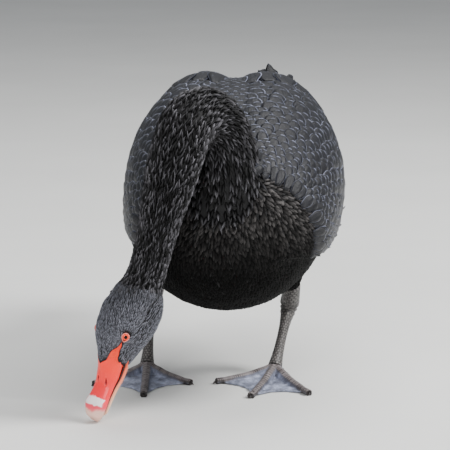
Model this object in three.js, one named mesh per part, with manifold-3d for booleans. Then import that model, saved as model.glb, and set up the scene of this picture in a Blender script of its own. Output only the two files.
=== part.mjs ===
// A life-size black swan that grazes: breast low, neck arched over and down, bill tip on the ground.
// Millimetres, +Z up. The bird faces -Y, its left side is +X, and the ground is Z = 0.
// The body is parted by thin gaps into the pieces that a person would name.
import * as THREE from "three";
import { mergeVertices } from "three/addons/utils/BufferGeometryUtils.js";
import Module from "manifold-3d";

const wasm = await Module();
wasm.setup();

// Driving sizes of the whole bird
const GAP = 0.35; // between pieces that touch
const TORSO_CENTRE = new THREE.Vector3(5, 0, 207);
const TORSO_PITCH = 12; // degrees, tail up
const TORSO_YAW = 3; // degrees, tail towards the bird's left
const TORSO_FRONT = 188; // from the centre to the breast
const TORSO_BACK = 222; // from the centre to the rump
const TORSO_HALF_WIDTH = 117;
const TORSO_TOP = 93;
const TORSO_BOTTOM = 109;
const TAIL_LENGTH = 112; // the feathers' free length
const TAIL_FEATHERS = 12;
const BILL_TIP = new THREE.Vector3(-144, -215, 5.7);
const BILL_DIRECTION = new THREE.Vector3(-0.304, -0.187, -0.934).normalize();
const HEAD_ROLL = 38; // degrees that the crown turns away from the viewer in front
const HEAD_MIDDLE_TO_TIP = 97;
const EYE_RADIUS = 5.8;
const EYE_FORWARD = 3;
const EYE_RISE = 6;
const EYE_SPREAD = 19.4; // from the head's middle plane to the eyeball's centre
const TARSUS_RADIUS = 6.4;
const TOE_RADIUS = 5.2;
const WEB_THICKNESS = 1.8;

const AXIS_X = new THREE.Vector3(1, 0, 0);
const AXIS_Y = new THREE.Vector3(0, 1, 0);
const AXIS_Z = new THREE.Vector3(0, 0, 1);
const radians = THREE.MathUtils.degToRad;
const vec = (x, y, z) => new THREE.Vector3(x, y, z);

// A smooth curve through pairs of place and value.
function profile(pairs) {
  const places = pairs.map((pair) => pair[0]);
  const values = pairs.map((pair) => pair[1]);
  const curve = new THREE.CubicInterpolant(places, values, 1);
  return (place) => curve.evaluate(place)[0];
}

// Closed solids from rings of points, each ring with the same count, ends closed on a middle point.
function loft(rings, startMiddle, endMiddle) {
  const count = rings[0].length;
  const middle = (ring) => ring.reduce((sum, p) => sum.add(p), vec(0, 0, 0)).divideScalar(count);
  const points = rings.flat();
  points.push(startMiddle ?? middle(rings[0]), endMiddle ?? middle(rings.at(-1)));
  const faces = [];
  rings.slice(1).forEach((_, i) => {
    for (let j = 0; j < count; j++) {
      const k = (j + 1) % count;
      const a = i * count;
      const b = a + count;
      faces.push(a + j, a + k, b + j, a + k, b + k, b + j);
    }
  });
  const last = (rings.length - 1) * count;
  for (let j = 0; j < count; j++) {
    const k = (j + 1) % count;
    faces.push(points.length - 2, k, j, points.length - 1, last + j, last + k);
  }
  return solidFrom(points, faces);
}

function solidFrom(points, faces) {
  const vertProperties = new Float32Array(points.flatMap((p) => p.toArray()));
  const triVerts = new Uint32Array(faces);
  const made = new wasm.Manifold(new wasm.Mesh({ numProp: 3, vertProperties, triVerts }));
  if (made.volume() > 0) return made;
  for (let i = 0; i < triVerts.length; i += 3) triVerts.subarray(i, i + 2).reverse();
  return new wasm.Manifold(new wasm.Mesh({ numProp: 3, vertProperties, triVerts }));
}

function solidFromGeometry(geometry) {
  const bare = geometry.clone();
  bare.deleteAttribute("normal");
  bare.deleteAttribute("uv");
  const merged = mergeVertices(bare, 1e-4);
  return new wasm.Manifold(
    new wasm.Mesh({
      numProp: 3,
      vertProperties: merged.attributes.position.array,
      triVerts: new Uint32Array(merged.index.array),
    }),
  );
}

// The largest closed surface: it drops loose scraps and fills hollows that fusing seals.
function largest(solid) {
  return solid.decompose().reduce((best, body) => (body.volume() > best.volume() ? body : best));
}

const fuse = (pieces) => pieces.reduce((sum, piece) => sum.add(piece));

function ellipsoid(centre, radii, turn, segments) {
  const geometry = new THREE.SphereGeometry(1, segments, segments / 2);
  geometry.scale(radii.x, radii.y, radii.z).applyMatrix4(turn).translate(...centre.toArray());
  return solidFromGeometry(geometry);
}

// The half-space above or below a height, as a large block.
function slab(low, high) {
  const span = 1200;
  const geometry = new THREE.BoxGeometry(span, span, high - low);
  geometry.translate(0, 0, (low + high) / 2);
  return solidFromGeometry(geometry);
}

// A limb of round section along a curve: sizes(t) gives the half width and the half height.
function limb({ curve, sizes, from = 0, to = 1, steps, sides, grow = 0, across = AXIS_X }) {
  const rings = [];
  for (let i = 0; i <= steps; i++) {
    const t = from + ((to - from) * i) / steps;
    const along = curve.getTangent(t);
    const side = across.clone().addScaledVector(along, -across.dot(along)).normalize();
    const up = side.clone().cross(along);
    const [halfWidth, halfHeight] = sizes(t);
    const centre = curve.getPoint(t);
    rings.push(
      Array.from({ length: sides }, (_, j) => {
        const angle = (2 * Math.PI * j) / sides;
        return centre
          .clone()
          .addScaledVector(side, (halfWidth + grow) * Math.cos(angle))
          .addScaledVector(up, (halfHeight + grow) * Math.sin(angle));
      }),
    );
  }
  return loft(rings);
}

// The torso's own axes: u runs to the tail, v to the bird's left, w up from the torso's middle.
const torsoTurn = new THREE.Matrix4()
  .makeRotationZ(radians(-TORSO_YAW))
  .multiply(new THREE.Matrix4().makeRotationX(radians(TORSO_PITCH)));
const torsoPlace = (u, v, w) => vec(v, u, w).applyMatrix4(torsoTurn).add(TORSO_CENTRE);

// How full the torso is from the breast to the rump.
function fullness(u, power) {
  const share = u < 0 ? -u / TORSO_FRONT : u / TORSO_BACK;
  return Math.sqrt(Math.max(0, 1 - Math.pow(Math.min(1, share), u < 0 ? 2.5 : power)));
}

function torsoRing(u, place, grow, sides) {
  const width = TORSO_HALF_WIDTH * fullness(u, 2.1) + grow;
  const top = TORSO_TOP * fullness(u, 2.6) + grow;
  const bottom = TORSO_BOTTOM * fullness(u, 1.5) + grow;
  return Array.from({ length: sides }, (_, j) => {
    const angle = (2 * Math.PI * j) / sides;
    const w = Math.cos(angle) * (Math.cos(angle) > 0 ? top : bottom);
    return torsoPlace(place, width * Math.sin(angle), w);
  });
}

function torsoSolid(grow) {
  const stations = 15;
  const sides = 26;
  const middle = (TORSO_BACK - TORSO_FRONT) / 2;
  const reach = (TORSO_BACK + TORSO_FRONT) / 2;
  const rings = [];
  for (let i = 0; i < stations; i++) {
    const share = -Math.cos((Math.PI * (i + 0.5)) / stations);
    rings.push(torsoRing(middle + reach * share, middle + (reach + grow) * share, grow, sides));
  }
  const far = reach + grow * 1.5;
  return loft(rings, torsoPlace(middle - far, 0, 0), torsoPlace(middle + far, 0, 0));
}

// Neck: one curve from inside the torso over the arch to the back of the head.
const neckCurve = new THREE.CatmullRomCurve3(
  [
    vec(2, -76, 176),
    vec(-2, -108, 200),
    vec(-3, -131, 236),
    vec(-4, -140, 276),
    vec(-10, -152, 308),
    vec(-24, -174, 323),
    vec(-40, -196, 313),
    vec(-51, -207, 280),
    vec(-59, -209, 250),
    vec(-67, -208, 218),
    vec(-74, -204, 188),
    vec(-81, -197, 161),
    vec(-89, -190, 138),
    vec(-96, -184, 118),
  ],
  false,
  "centripetal",
);
const NECK_RADIUS = profile([
  [0, 60],
  [0.1, 53],
  [0.2, 43],
  [0.3, 34],
  [0.38, 30],
  [0.48, 30],
  [0.56, 29],
  [0.66, 25],
  [0.76, 22],
  [0.83, 21.5],
  [0.89, 23],
  [0.95, 26],
  [1, 28],
]);
const NECK_CUTS = [0.24, 0.53, 0.77];
const NECK_PARTS = [
  ["neck_base", 0, NECK_CUTS[0], 7],
  ["neck_arch", NECK_CUTS[0], NECK_CUTS[1], 10],
  ["neck_middle", NECK_CUTS[1], NECK_CUTS[2], 6],
  ["neck_upper", NECK_CUTS[2], 1, 6],
];
const NECK_SIDES = 16;
const neckSizes = (t) => [NECK_RADIUS(t), NECK_RADIUS(t)];

// The neck ends on the plane of the head's rear.
function headSide() {
  const length = 200;
  const block = new THREE.BoxGeometry(length, 200, 200).translate(length / 2 - 47 - GAP, 0, 0);
  return solidFromGeometry(block.applyMatrix4(headTurn).translate(...eyeMiddle.toArray()));
}

function neckSolid(from, to, steps, grow) {
  const halfGap = GAP / 2 / neckCurve.getLength();
  return limb({
    curve: neckCurve,
    sizes: neckSizes,
    from: from === 0 ? 0 : from + halfGap,
    to: to - halfGap,
    steps,
    sides: NECK_SIDES,
    grow,
  });
}

// Head axes: forward along the bill, crown up, and the bird's left.
const toViewer = vec(0, -0.976, 0.216);
const viewerRight = toViewer.clone().cross(BILL_DIRECTION).normalize();
const towards = BILL_DIRECTION.clone().cross(viewerRight).normalize();
const headUp = towards
  .clone()
  .multiplyScalar(Math.cos(radians(HEAD_ROLL)))
  .addScaledVector(viewerRight, -Math.sin(radians(HEAD_ROLL)));
const headLeft = headUp.clone().cross(BILL_DIRECTION);
const eyeMiddle = BILL_TIP.clone().addScaledVector(BILL_DIRECTION, -HEAD_MIDDLE_TO_TIP);
const headTurn = new THREE.Matrix4().makeBasis(BILL_DIRECTION, headLeft, headUp);
const headPlace = (forward, left, up) => vec(forward, left, up).applyMatrix4(headTurn).add(eyeMiddle);

// Head outline at each station forward of the eyes: [place, crown, throat, half width].
const HEAD_STATIONS = [
  // [place, crown, throat, half width, lean to the left where the neck joins]
  [-47, 19, 33, 26, 11],
  [-36, 17.5, 44, 26, 7.5],
  [-24, 21, 50, 27, 4],
  [-12, 22, 51, 25.5, 2.5],
  [0, 21.8, 48, 24, 1],
  [10, 19, 44, 21.5, 0],
  [20, 15.5, 39.5, 18.5, 0],
  [29, 11.5, 35, 15.5, 0],
  [37, 9.5, 29.5, 13.6, 0],
];
const FACE_FRONT = 37; // the feathers' point on the bill's ridge
const FACE_VEE = 0.85; // how fast the feather edge runs back from the middle

// A section of the head or the bill, an ellipse with its own crown and throat heights.
function headRing([forward, crown, throat, halfWidth, lean], sides, vee) {
  return Array.from({ length: sides }, (_, j) => {
    const angle = (2 * Math.PI * j) / sides;
    const across = halfWidth * Math.sin(angle);
    const up = Math.cos(angle) * (Math.cos(angle) > 0 ? crown : throat);
    return headPlace(forward - vee * Math.abs(across), across + lean, up);
  });
}

function headSolid() {
  const sides = 20;
  const rings = HEAD_STATIONS.map((station) => {
    const vee = Math.max(0, (station[0] - 8) / (FACE_FRONT - 8)) * FACE_VEE;
    return headRing(station, sides, vee);
  });
  const frontDrop = (HEAD_STATIONS.at(-1)[1] - HEAD_STATIONS.at(-1)[2]) / 2;
  return loft(rings, null, headPlace(FACE_FRONT, 0, frontDrop));
}

function eyeCentre(side) {
  return headPlace(EYE_FORWARD, side * EYE_SPREAD, EYE_RISE);
}

const eyeTurn = new THREE.Matrix4().makeBasis(BILL_DIRECTION, headLeft, headUp);

function eyeSolid(side, grow) {
  const radius = EYE_RADIUS + grow;
  return ellipsoid(eyeCentre(side), vec(radius, radius, radius), eyeTurn, 16);
}

// A lid ring stands round each eye, fused with the head.
function lidRing(side) {
  const ring = new THREE.TorusGeometry(4.2, 1.1, 5, 14);
  const out = headLeft.clone().multiplyScalar(side);
  const turn = new THREE.Matrix4().makeBasis(BILL_DIRECTION, headUp.clone().multiplyScalar(-side), out);
  ring.applyMatrix4(turn);
  const centre = eyeCentre(side).addScaledVector(out, 4.3);
  ring.translate(...centre.toArray());
  return solidFromGeometry(ring);
}

// Bill: an upper half with the nail at its tip, and a lower half under the line of the mouth.
const BILL_FRONT = HEAD_MIDDLE_TO_TIP;
const UPPER_STATIONS = [
  // [place, ridge height, gape depth, half width, droop of the whole section]
  [37, 15.6, 13, 12.8, 7.2],
  [46, 11.4, 10.4, 12.5, 9.4],
  [58, 6.6, 6.2, 12.2, 9.4],
  [70, 5.9, 5.2, 12.8, 7.7],
  [80, 5.8, 4.8, 14.3, 5.9],
];
const NAIL_STATIONS = [
  [80.4, 5.8, 4.8, 14.3, 5.9],
  [88, 5.8, 4.4, 12, 7],
  [94, 4.8, 3.8, 8.6, 9.4],
  [97, 2.4, 2.2, 3.8, 12.4],
];
const LOWER_STATIONS = [
  [37, 0, 7.6, 11.6, -21.4],
  [46, 0, 7, 11.6, -21.2],
  [58, 0, 7.2, 12, -17],
  [70, 0, 6.8, 12.1, -14.3],
  [80, 0, 6.6, 12.8, -12.1],
  [87, 0, 4.6, 9.6, -13],
];

// A bill section: a vaulted ridge over a flatter underside.
function billRing([forward, ridge, gape, halfWidth, droop], vee, lower, sides = 14) {
  return Array.from({ length: sides }, (_, j) => {
    const angle = (2 * Math.PI * j) / sides;
    const left = halfWidth * Math.sign(Math.sin(angle)) * Math.pow(Math.abs(Math.sin(angle)), 0.8);
    const rise = Math.cos(angle);
    const up = lower ? droop + (rise > 0 ? 0.6 * rise : gape * rise) : rise * (rise > 0 ? ridge : gape) - droop;
    return headPlace(forward - vee * Math.abs(left), left, up);
  });
}

function billSolid(stations, { vee = 0, lower = false } = {}) {
  const rings = stations.map((station, i) => billRing(station, i === 0 ? vee : vee * 0.35 * (i === 1), lower));
  const [forward, ridge, gape, , droop] = stations[0];
  const drop = lower ? droop - gape / 2 : (ridge - gape) / 2 - droop;
  return loft(rings, headPlace(forward, 0, drop));
}

function nostril(side) {
  const turn = new THREE.Matrix4()
    .makeBasis(BILL_DIRECTION, headLeft, headUp)
    .multiply(new THREE.Matrix4().makeRotationX(radians(-side * 30)));
  return ellipsoid(headPlace(54, side * 5.4, -2), vec(4.6, 1.3, 2.6), turn, 10);
}

// Folded wing: an arch over each side of the back, cleft at the middle line.
const WING_SPAN = profile([
  [-175, 78],
  [-130, 108],
  [-70, 123],
  [0, 129],
  [70, 128],
  [130, 117],
  [190, 96],
  [250, 70],
  [310, 46],
  [360, 34],
]);
const WING_TOP = profile([
  [-175, 62],
  [-130, 86],
  [-70, 101],
  [0, 107],
  [70, 106],
  [130, 97],
  [190, 80],
  [250, 52],
  [310, 26],
  [360, 10],
]);
const WING_ARCH_CENTRE = profile([
  [-175, 20],
  [-70, 34],
  [70, 38],
  [190, 34],
  [310, 16],
  [360, 10],
]);
const WING_FLANK = profile([
  [-175, 40],
  [-70, 82],
  [70, 86],
  [190, 60],
  [310, 36],
  [360, 26],
]);

// The right wing lies closer and higher than the left, as the swan leans over its right foot.
const WINGS = {
  left: { side: 1, tuck: 0, skirt: 110 },
  right: { side: -1, tuck: 9, skirt: 97 },
};

// A point on a folded wing: angle 0 is the arch's top, 90 its outermost line; lift stands off it.
function wingPlace(wing, u, degrees, lift) {
  const angle = radians(degrees);
  const centre = WING_ARCH_CENTRE(u);
  const reach = WING_SPAN(u) - centre - wing.tuck;
  const height = Math.cos(angle) > 0 ? WING_TOP(u) : WING_FLANK(u);
  const v = centre + (reach + lift) * Math.sin(angle);
  return torsoPlace(u, wing.side * v, (height + lift) * Math.cos(angle));
}

function wingCore(wing) {
  const stations = 12;
  const columns = 9;
  const faces = [[], []];
  for (let i = 0; i < stations; i++) {
    const u = -156 + (361 * i) / (stations - 1);
    const centre = WING_ARCH_CENTRE(u);
    const fold = Math.asin(Math.min(0.9, (centre - 3) / (WING_SPAN(u) - centre - wing.tuck)));
    const start = -THREE.MathUtils.radToDeg(fold);
    const end = wing.skirt - 0.17 * Math.max(0, u - 60);
    const fill = Math.min(1, (u + 172) / 60, (225 - u) / 70);
    for (let j = 0; j < columns; j++) {
      const across = j / (columns - 1);
      const degrees = start + (end - start) * across;
      const edge = 0.2 + 0.8 * Math.sin(Math.PI * (0.12 + 0.76 * across));
      faces[0].push(wingPlace(wing, u, degrees, -4 * (1 - fill) - 3 * (1 - edge)));
      faces[1].push(wingPlace(wing, u, degrees, -4 - 34 * fill * edge));
    }
  }
  return sheetSolid(faces.flat(), stations, columns);
}

// A feather: a thin, cambered plate whose midline runs over a surface from a sunk root to its tip.
const VANE_STATIONS = [0, 0.4, 0.78, 1];
function vane({ at, halfWidth, lift, thickness = 1.1, camber = 1.2, tip = 0.16 }) {
  const shape = (s) => {
    const body = 0.55 + 0.45 * Math.min(1, s / 0.45);
    const end = s < 0.6 ? 1 : Math.sqrt(Math.max(0, 1 - ((s - 0.6) / 0.4) ** 2));
    return Math.max(tip, body * end);
  };
  const faces = [];
  const points = [];
  for (const face of [0.5, -0.5]) {
    VANE_STATIONS.forEach((s) => {
      for (const across of [-1, 0, 1]) {
        const sink = camber * across * across;
        points.push(at(s, across * halfWidth * shape(s), lift(s) - sink + face * thickness));
      }
    });
  }
  const under = VANE_STATIONS.length * 3;
  for (let i = 0; i + 1 < VANE_STATIONS.length; i++) {
    for (let j = 0; j < 2; j++) {
      const a = i * 3 + j;
      faces.push(a, a + 1, a + 3, a + 1, a + 4, a + 3);
      faces.push(under + a, under + a + 3, under + a + 1, under + a + 1, under + a + 3, under + a + 4);
    }
    for (const [a, b] of [
      [i * 3, i * 3 + 3],
      [i * 3 + 5, i * 3 + 2],
    ]) {
      faces.push(a, b, under + a, b, under + b, under + a);
    }
  }
  const end = (VANE_STATIONS.length - 1) * 3;
  for (let j = 0; j < 2; j++) {
    faces.push(j + 1, j, under + j, j + 1, under + j, under + j + 1);
    faces.push(end + j, end + j + 1, under + end + j, end + j + 1, under + end + j + 1, under + end + j);
  }
  return solidFrom(points, faces);
}

// A vane on a folded wing, from one place (u, degrees) to another.
function wingVane(wing, { from, to, width, rise, root = -3, curl = 0, roll = 0 }) {
  const middleU = (from[0] + to[0]) / 2;
  const radius = (WING_TOP(Math.min(middleU, 250)) + WING_SPAN(Math.min(middleU, 250))) / 2;
  const perDegree = (radius * Math.PI) / 180;
  const runU = to[0] - from[0];
  const runAcross = (to[1] - from[1]) * perDegree;
  const length = Math.hypot(runU, runAcross);
  const at = (s, across, lift) => {
    const u = from[0] + runU * s - (across * runAcross) / length;
    const degrees = from[1] + (to[1] - from[1]) * s + (across * runU) / length / perDegree;
    return wingPlace(wing, u, degrees, lift + roll * (across / width));
  };
  const lift = (s) => root + (rise - root) * Math.pow(s, 0.6) + curl * Math.max(0, s - 0.55) ** 2 * 5;
  return vane({ at, halfWidth: width / 2, lift });
}

// The tiers of a folded wing, from the shoulder back. Each runs from the upper edge to the skirt.
const WING_TIERS = [
  { count: 6, from: [-116, -160], low: [10, 100], run: 84, turn: 2, width: 42, rise: 4.5 },
  { count: 6, from: [-52, -98], low: [-6, 102], run: 92, turn: 1, width: 48, rise: 4.5 },
  { count: 6, from: [16, -24], low: [-8, 100], run: 100, turn: -1, width: 50, rise: 5 },
  { count: 6, from: [82, 40], low: [-4, 96], run: 104, turn: -3, width: 46, rise: 5 },
];
const TERTIALS = { count: 5, from: [138, 96], low: [2, 64], run: 118, turn: -7, width: 42, rise: 6, curl: 13 };
const PRIMARIES = { count: 5, from: [118, 96], low: [86, 64], run: 214, turn: -34, width: 24 };

function tier(wing, { count, from, low, run, turn, width, rise, curl = 0, root = -3 }) {
  return Array.from({ length: count }, (_, i) => {
    const share = i / (count - 1);
    const u = from[0] + (from[1] - from[0]) * share;
    const skirt = Math.min(low[1], wing.skirt - 4);
    const degrees = low[0] + (skirt - low[0]) * share;
    const sway = 2.2 * Math.sin(i * 2.4);
    return wingVane(wing, {
      from: [u, degrees],
      to: [u + run + sway, degrees + turn],
      width,
      rise: rise + 0.4 * Math.cos(i * 1.7),
      curl: curl * (0.75 + 0.25 * Math.cos(i * 2.1)),
      root,
      roll: -2.4,
    });
  });
}

function wingSolid(wing, blockers) {
  const pieces = [wingCore(wing)];
  for (const row of WING_TIERS) pieces.push(...tier(wing, row));
  pieces.push(...tier(wing, TERTIALS));
  for (let i = 0; i < PRIMARIES.count; i++) {
    const share = i / (PRIMARIES.count - 1);
    pieces.push(
      wingVane(wing, {
        from: [PRIMARIES.from[0] - 22 * share, PRIMARIES.low[0] - 22 * share],
        to: [PRIMARIES.from[0] + PRIMARIES.run - 40 * share, PRIMARIES.low[0] - 22 * share + PRIMARIES.turn],
        width: PRIMARIES.width,
        rise: -7 - 1.6 * i,
        root: -9,
      }),
    );
  }
  return largest(blockers.reduce((sum, blocker) => sum.subtract(blocker), fuse(pieces)));
}

// Tail: a short rump cone and a low fan of overlapping feathers.
function tailCore(grow) {
  const rings = [
    [168, 62, 42, 34],
    [200, 52, 32, 26],
    [232, 40, 20, 16],
    [262, 27, 9, 7],
  ].map(([u, halfWidth, up, down]) =>
    Array.from({ length: 14 }, (_, j) => {
      const angle = (2 * Math.PI * j) / 14;
      const w = Math.cos(angle) * ((Math.cos(angle) > 0 ? up : down) + grow);
      return torsoPlace(u, (halfWidth + grow) * Math.sin(angle), w - 6);
    }),
  );
  return loft(rings);
}

function tailSolid(blockers) {
  const pieces = [tailCore(0)];
  for (let i = 0; i < TAIL_FEATHERS; i++) {
    const share = (2 * i) / (TAIL_FEATHERS - 1) - 1;
    const spread = radians(27 * share);
    const length = TAIL_LENGTH * (1 - 0.22 * share * share);
    const rootU = 214;
    const rootV = 26 * share;
    const layer = -2.4 * Math.abs(share) * 3 - 8 + (i % 2);
    const at = (s, across, lift) => {
      const along = s * (length + 30);
      const u = rootU + along * Math.cos(spread) - across * Math.sin(spread);
      const v = rootV + along * Math.sin(spread) + across * Math.cos(spread);
      return torsoPlace(u, v, layer + lift - 0.1 * along);
    };
    pieces.push(vane({ at, halfWidth: 13, lift: (s) => 2.5 * s * s, thickness: 1.3, camber: 1.4, tip: 0.25 }));
  }
  return largest(blockers.reduce((sum, blocker) => sum.subtract(blocker), fuse(pieces)));
}

// Legs: the foot's joint, the ankle above and behind it, and the knee inside the belly feathers.
const LEGS = {
  left: {
    joint: vec(56, 2, 13),
    ankle: vec(73, 44, 77),
    knee: vec(62, 4, 132),
    toes: { inner: vec(-10, -26, 0), middle: vec(28, -98, 0), outer: vec(92, -84, 0) },
    hind: vec(66, 32, 0),
  },
  right: {
    joint: vec(-88, 14, 13),
    ankle: vec(-84, 58, 80),
    knee: vec(-66, 14, 132),
    toes: { inner: vec(-38, -32, 0), middle: vec(-89, -92, 0), outer: vec(-146, -38, 0) },
    hind: vec(-86, 46, 0),
  },
};
const TOE_MIDDLE = 4.2; // height of a toe's middle over the ground; its pads sink in and are cut flat

function thighSolid(leg, blockers) {
  const curve = new THREE.CatmullRomCurve3([
    leg.ankle.clone().lerp(leg.knee, 0.24),
    leg.ankle.clone().lerp(leg.knee, 0.5),
    leg.knee,
  ]);
  const solid = limb({
    curve,
    sizes: (t) => [13 + 17 * t, 14 + 26 * t],
    steps: 4,
    sides: 12,
  });
  return largest(blockers.reduce((sum, blocker) => sum.subtract(blocker), solid));
}

function shankSolid(leg, { top = 0.24, grow = 0 } = {}) {
  const kneeEnd = leg.ankle.clone().lerp(leg.knee, top - 0.008);
  const foot = leg.joint.clone().lerp(leg.ankle, 0.04);
  const curve = new THREE.CatmullRomCurve3([
    foot,
    leg.joint.clone().lerp(leg.ankle, 0.35),
    leg.joint.clone().lerp(leg.ankle, 0.7),
    leg.ankle,
    kneeEnd,
  ]);
  const girth = profile([
    [0, 1.35],
    [0.12, 1.05],
    [0.3, 0.92],
    [0.5, 0.95],
    [0.66, 1.2],
    [0.8, 1.72],
    [0.9, 1.62],
    [1, 1.5],
  ]);
  return limb({
    curve,
    sizes: (t) => [TARSUS_RADIUS * girth(t) * 0.92, TARSUS_RADIUS * girth(t) * 1.12],
    steps: 11,
    sides: 10,
    grow,
  });
}

// A toe runs over its knuckles down to a flat on the ground.
function toeCurve(leg, tip) {
  const start = leg.joint.clone();
  const end = vec(tip.x, tip.y, TOE_MIDDLE - 1.3);
  const knuckle = start.clone().lerp(end, 0.3).setZ(TOE_MIDDLE + 3.2);
  const far = start.clone().lerp(end, 0.65).setZ(TOE_MIDDLE - 0.2);
  return new THREE.CatmullRomCurve3([start, knuckle, far, end]);
}

function toeSolid(leg, tip) {
  const curve = toeCurve(leg, tip);
  const girth = (t) => TOE_RADIUS * (1.28 - 0.5 * t + 0.09 * Math.cos(t * 19));
  return limb({ curve, sizes: (t) => [girth(t), girth(t) * 0.94], steps: 7, sides: 7, across: AXIS_Z });
}

// The web between two toes sags a little and its front edge is scalloped.
function webSolid(leg, first, second) {
  const rows = 4;
  const columns = 4;
  const curves = [toeCurve(leg, first), toeCurve(leg, second)];
  const points = [];
  for (const side of [1, -1]) {
    for (let i = 0; i < rows; i++) {
      for (let j = 0; j < columns; j++) {
        const across = j / (columns - 1);
        const reach = (0.06 + (0.86 * i) / (rows - 1)) * (1 - 0.2 * Math.sin(Math.PI * across));
        const place = curves[0].getPoint(reach).lerp(curves[1].getPoint(reach), across);
        const sag = Math.sin(Math.PI * across) * (1.2 + 2.4 * (1 - i / (rows - 1)));
        const height = Math.max(place.z - sag - 1.2, WEB_THICKNESS / 2 + 0.1);
        points.push(place.setZ(height + (side * WEB_THICKNESS) / 2));
      }
    }
  }
  return sheetSolid(points, rows, columns);
}

// A closed plate from a grid of points on its top face, then the same grid on its underside.
function sheetSolid(points, rows, columns) {
  const under = rows * columns;
  const faces = [];
  for (let i = 0; i + 1 < rows; i++) {
    for (let j = 0; j + 1 < columns; j++) {
      const a = i * columns + j;
      const b = a + columns;
      faces.push(a, b, a + 1, a + 1, b, b + 1);
      faces.push(under + a, under + a + 1, under + b, under + a + 1, under + b + 1, under + b);
    }
  }
  const rim = [];
  for (let j = 0; j < columns; j++) rim.push(j);
  for (let i = 1; i < rows; i++) rim.push(i * columns + columns - 1);
  for (let j = columns - 2; j >= 0; j--) rim.push((rows - 1) * columns + j);
  for (let i = rows - 2; i > 0; i--) rim.push(i * columns);
  rim.forEach((a, i) => {
    const b = rim[(i + 1) % rim.length];
    faces.push(a, b, under + a, b, under + b, under + a);
  });
  return solidFrom(points, faces);
}

function hindCurve(leg) {
  const start = leg.joint.clone().lerp(leg.ankle, 0.1);
  const end = vec(leg.hind.x, leg.hind.y, 2.2);
  return new THREE.CatmullRomCurve3([start, start.clone().lerp(end, 0.5).setZ(12), end]);
}

// Where a claw leaves its toe: the last point of the toe and the way it points.
function clawRoot(curve) {
  const tip = curve.getPoint(0.93);
  const along = curve.getTangent(0.95).setZ(0).normalize();
  return { tip, along };
}

function clawSolid(curve, length, radius, grow = 0) {
  const { tip, along } = clawRoot(curve);
  const up = AXIS_Z;
  const bend = new THREE.QuadraticBezierCurve3(
    tip.clone().addScaledVector(along, -1.5).addScaledVector(up, 0.6),
    tip.clone().addScaledVector(along, length * 0.6).addScaledVector(up, 1.8),
    tip.clone().addScaledVector(along, length).setZ(1.1),
  );
  return limb({
    curve: bend,
    sizes: (t) => [radius * (1 - 0.78 * t), radius * (1 - 0.78 * t) * 0.8],
    steps: 4,
    sides: 7,
    grow,
    across: AXIS_Z,
  });
}

const CLAWS = { inner: [9, 3], middle: [10, 3.3], outer: [9, 3] };

function footPieces(name, leg) {
  const above = slab(0, 400);
  const { inner, middle, outer } = leg.toes;
  const toes = { inner: toeCurve(leg, inner), middle: toeCurve(leg, middle), outer: toeCurve(leg, outer) };
  const palm = ellipsoid(leg.joint.clone().setZ(7.4), vec(11, 12, 8.6), new THREE.Matrix4(), 10);
  const hind = limb({ curve: hindCurve(leg), sizes: (t) => [4.4 - 1.4 * t, 4.2 - 1.4 * t], steps: 4, sides: 8 });
  const claws = {};
  const cutters = [];
  for (const toe of Object.keys(toes)) {
    const [length, radius] = CLAWS[toe];
    claws[`claw_${name}_${toe}`] = clawSolid(toes[toe], length, radius).intersect(above);
    cutters.push(clawSolid(toes[toe], length, radius, GAP));
  }
  claws[`claw_${name}_hind`] = clawSolid(hindCurve(leg), 6, 2.2).intersect(above);
  cutters.push(clawSolid(hindCurve(leg), 6, 2.2, GAP));
  cutters.push(shankSolid(leg, { grow: GAP }));
  const foot = fuse([
    palm,
    hind,
    ...[inner, middle, outer].map((tip) => toeSolid(leg, tip)),
    webSolid(leg, inner, middle),
    webSolid(leg, middle, outer),
  ]);
  const cut = cutters.reduce((sum, cutter) => sum.subtract(cutter), foot.intersect(above));
  return { [`foot_${name}`]: largest(cut), ...claws };
}

// Finishes
const finish = (color, roughness) => new THREE.MeshStandardMaterial({ color, roughness, metalness: 0 });
const PLUMAGE = finish("#2b2a2d", 0.7);
const NECK_PLUMAGE = finish("#2a2a2b", 0.8);
const WING_FEATHERS = finish("#34333a", 0.6);
const TAIL_FEATHER = finish("#1f1e20", 0.6);
const BILL_RED = finish("#d8352a", 0.35);
const BILL_NAIL = finish("#d9a894", 0.4);
const LOWER_BILL = finish("#e08a66", 0.4);
const EYE_RED = finish("#c23a20", 0.1);
const LEG_SKIN = finish("#3d3b40", 0.6);
const WEB_SKIN = finish("#4a4c58", 0.55);
const CLAW_HORN = finish("#1e1c1c", 0.4);

const bird = new THREE.Group();
function addNode(name, solid, material) {
  const made = solid.getMesh();
  const geometry = new THREE.BufferGeometry();
  const stride = made.numProp;
  const places = new Float32Array(made.numVert * 3);
  for (let i = 0; i < made.numVert; i++) {
    places.set(made.vertProperties.subarray(i * stride, i * stride + 3), i * 3);
  }
  geometry.setAttribute("position", new THREE.BufferAttribute(places, 3));
  geometry.setIndex(new THREE.BufferAttribute(made.triVerts, 1));
  const mesh = new THREE.Mesh(geometry, material);
  mesh.name = name;
  bird.add(mesh);
}

// Torso, neck, wings and tail
const torso = torsoSolid(0);
const torsoCutter = torsoSolid(1.5 * GAP);
addNode("torso", torso, PLUMAGE);
const neckBaseCutter = neckSolid(0, NECK_CUTS[0], 7, GAP);
for (const [name, from, to, steps] of NECK_PARTS) {
  const whole = neckSolid(from, to, steps, 0);
  if (from === 0) addNode(name, largest(whole.subtract(torsoCutter)), NECK_PLUMAGE);
  else if (to === 1) addNode(name, largest(whole.subtract(headSide())), NECK_PLUMAGE);
  else addNode(name, whole, NECK_PLUMAGE);
}
const tailBlock = tailCore(GAP);
for (const [name, wing] of Object.entries(WINGS)) {
  addNode(`wing_${name}`, wingSolid(wing, [torsoCutter, neckBaseCutter, tailBlock]), WING_FEATHERS);
}
addNode("tail", tailSolid([torsoCutter]), TAIL_FEATHER);

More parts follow.
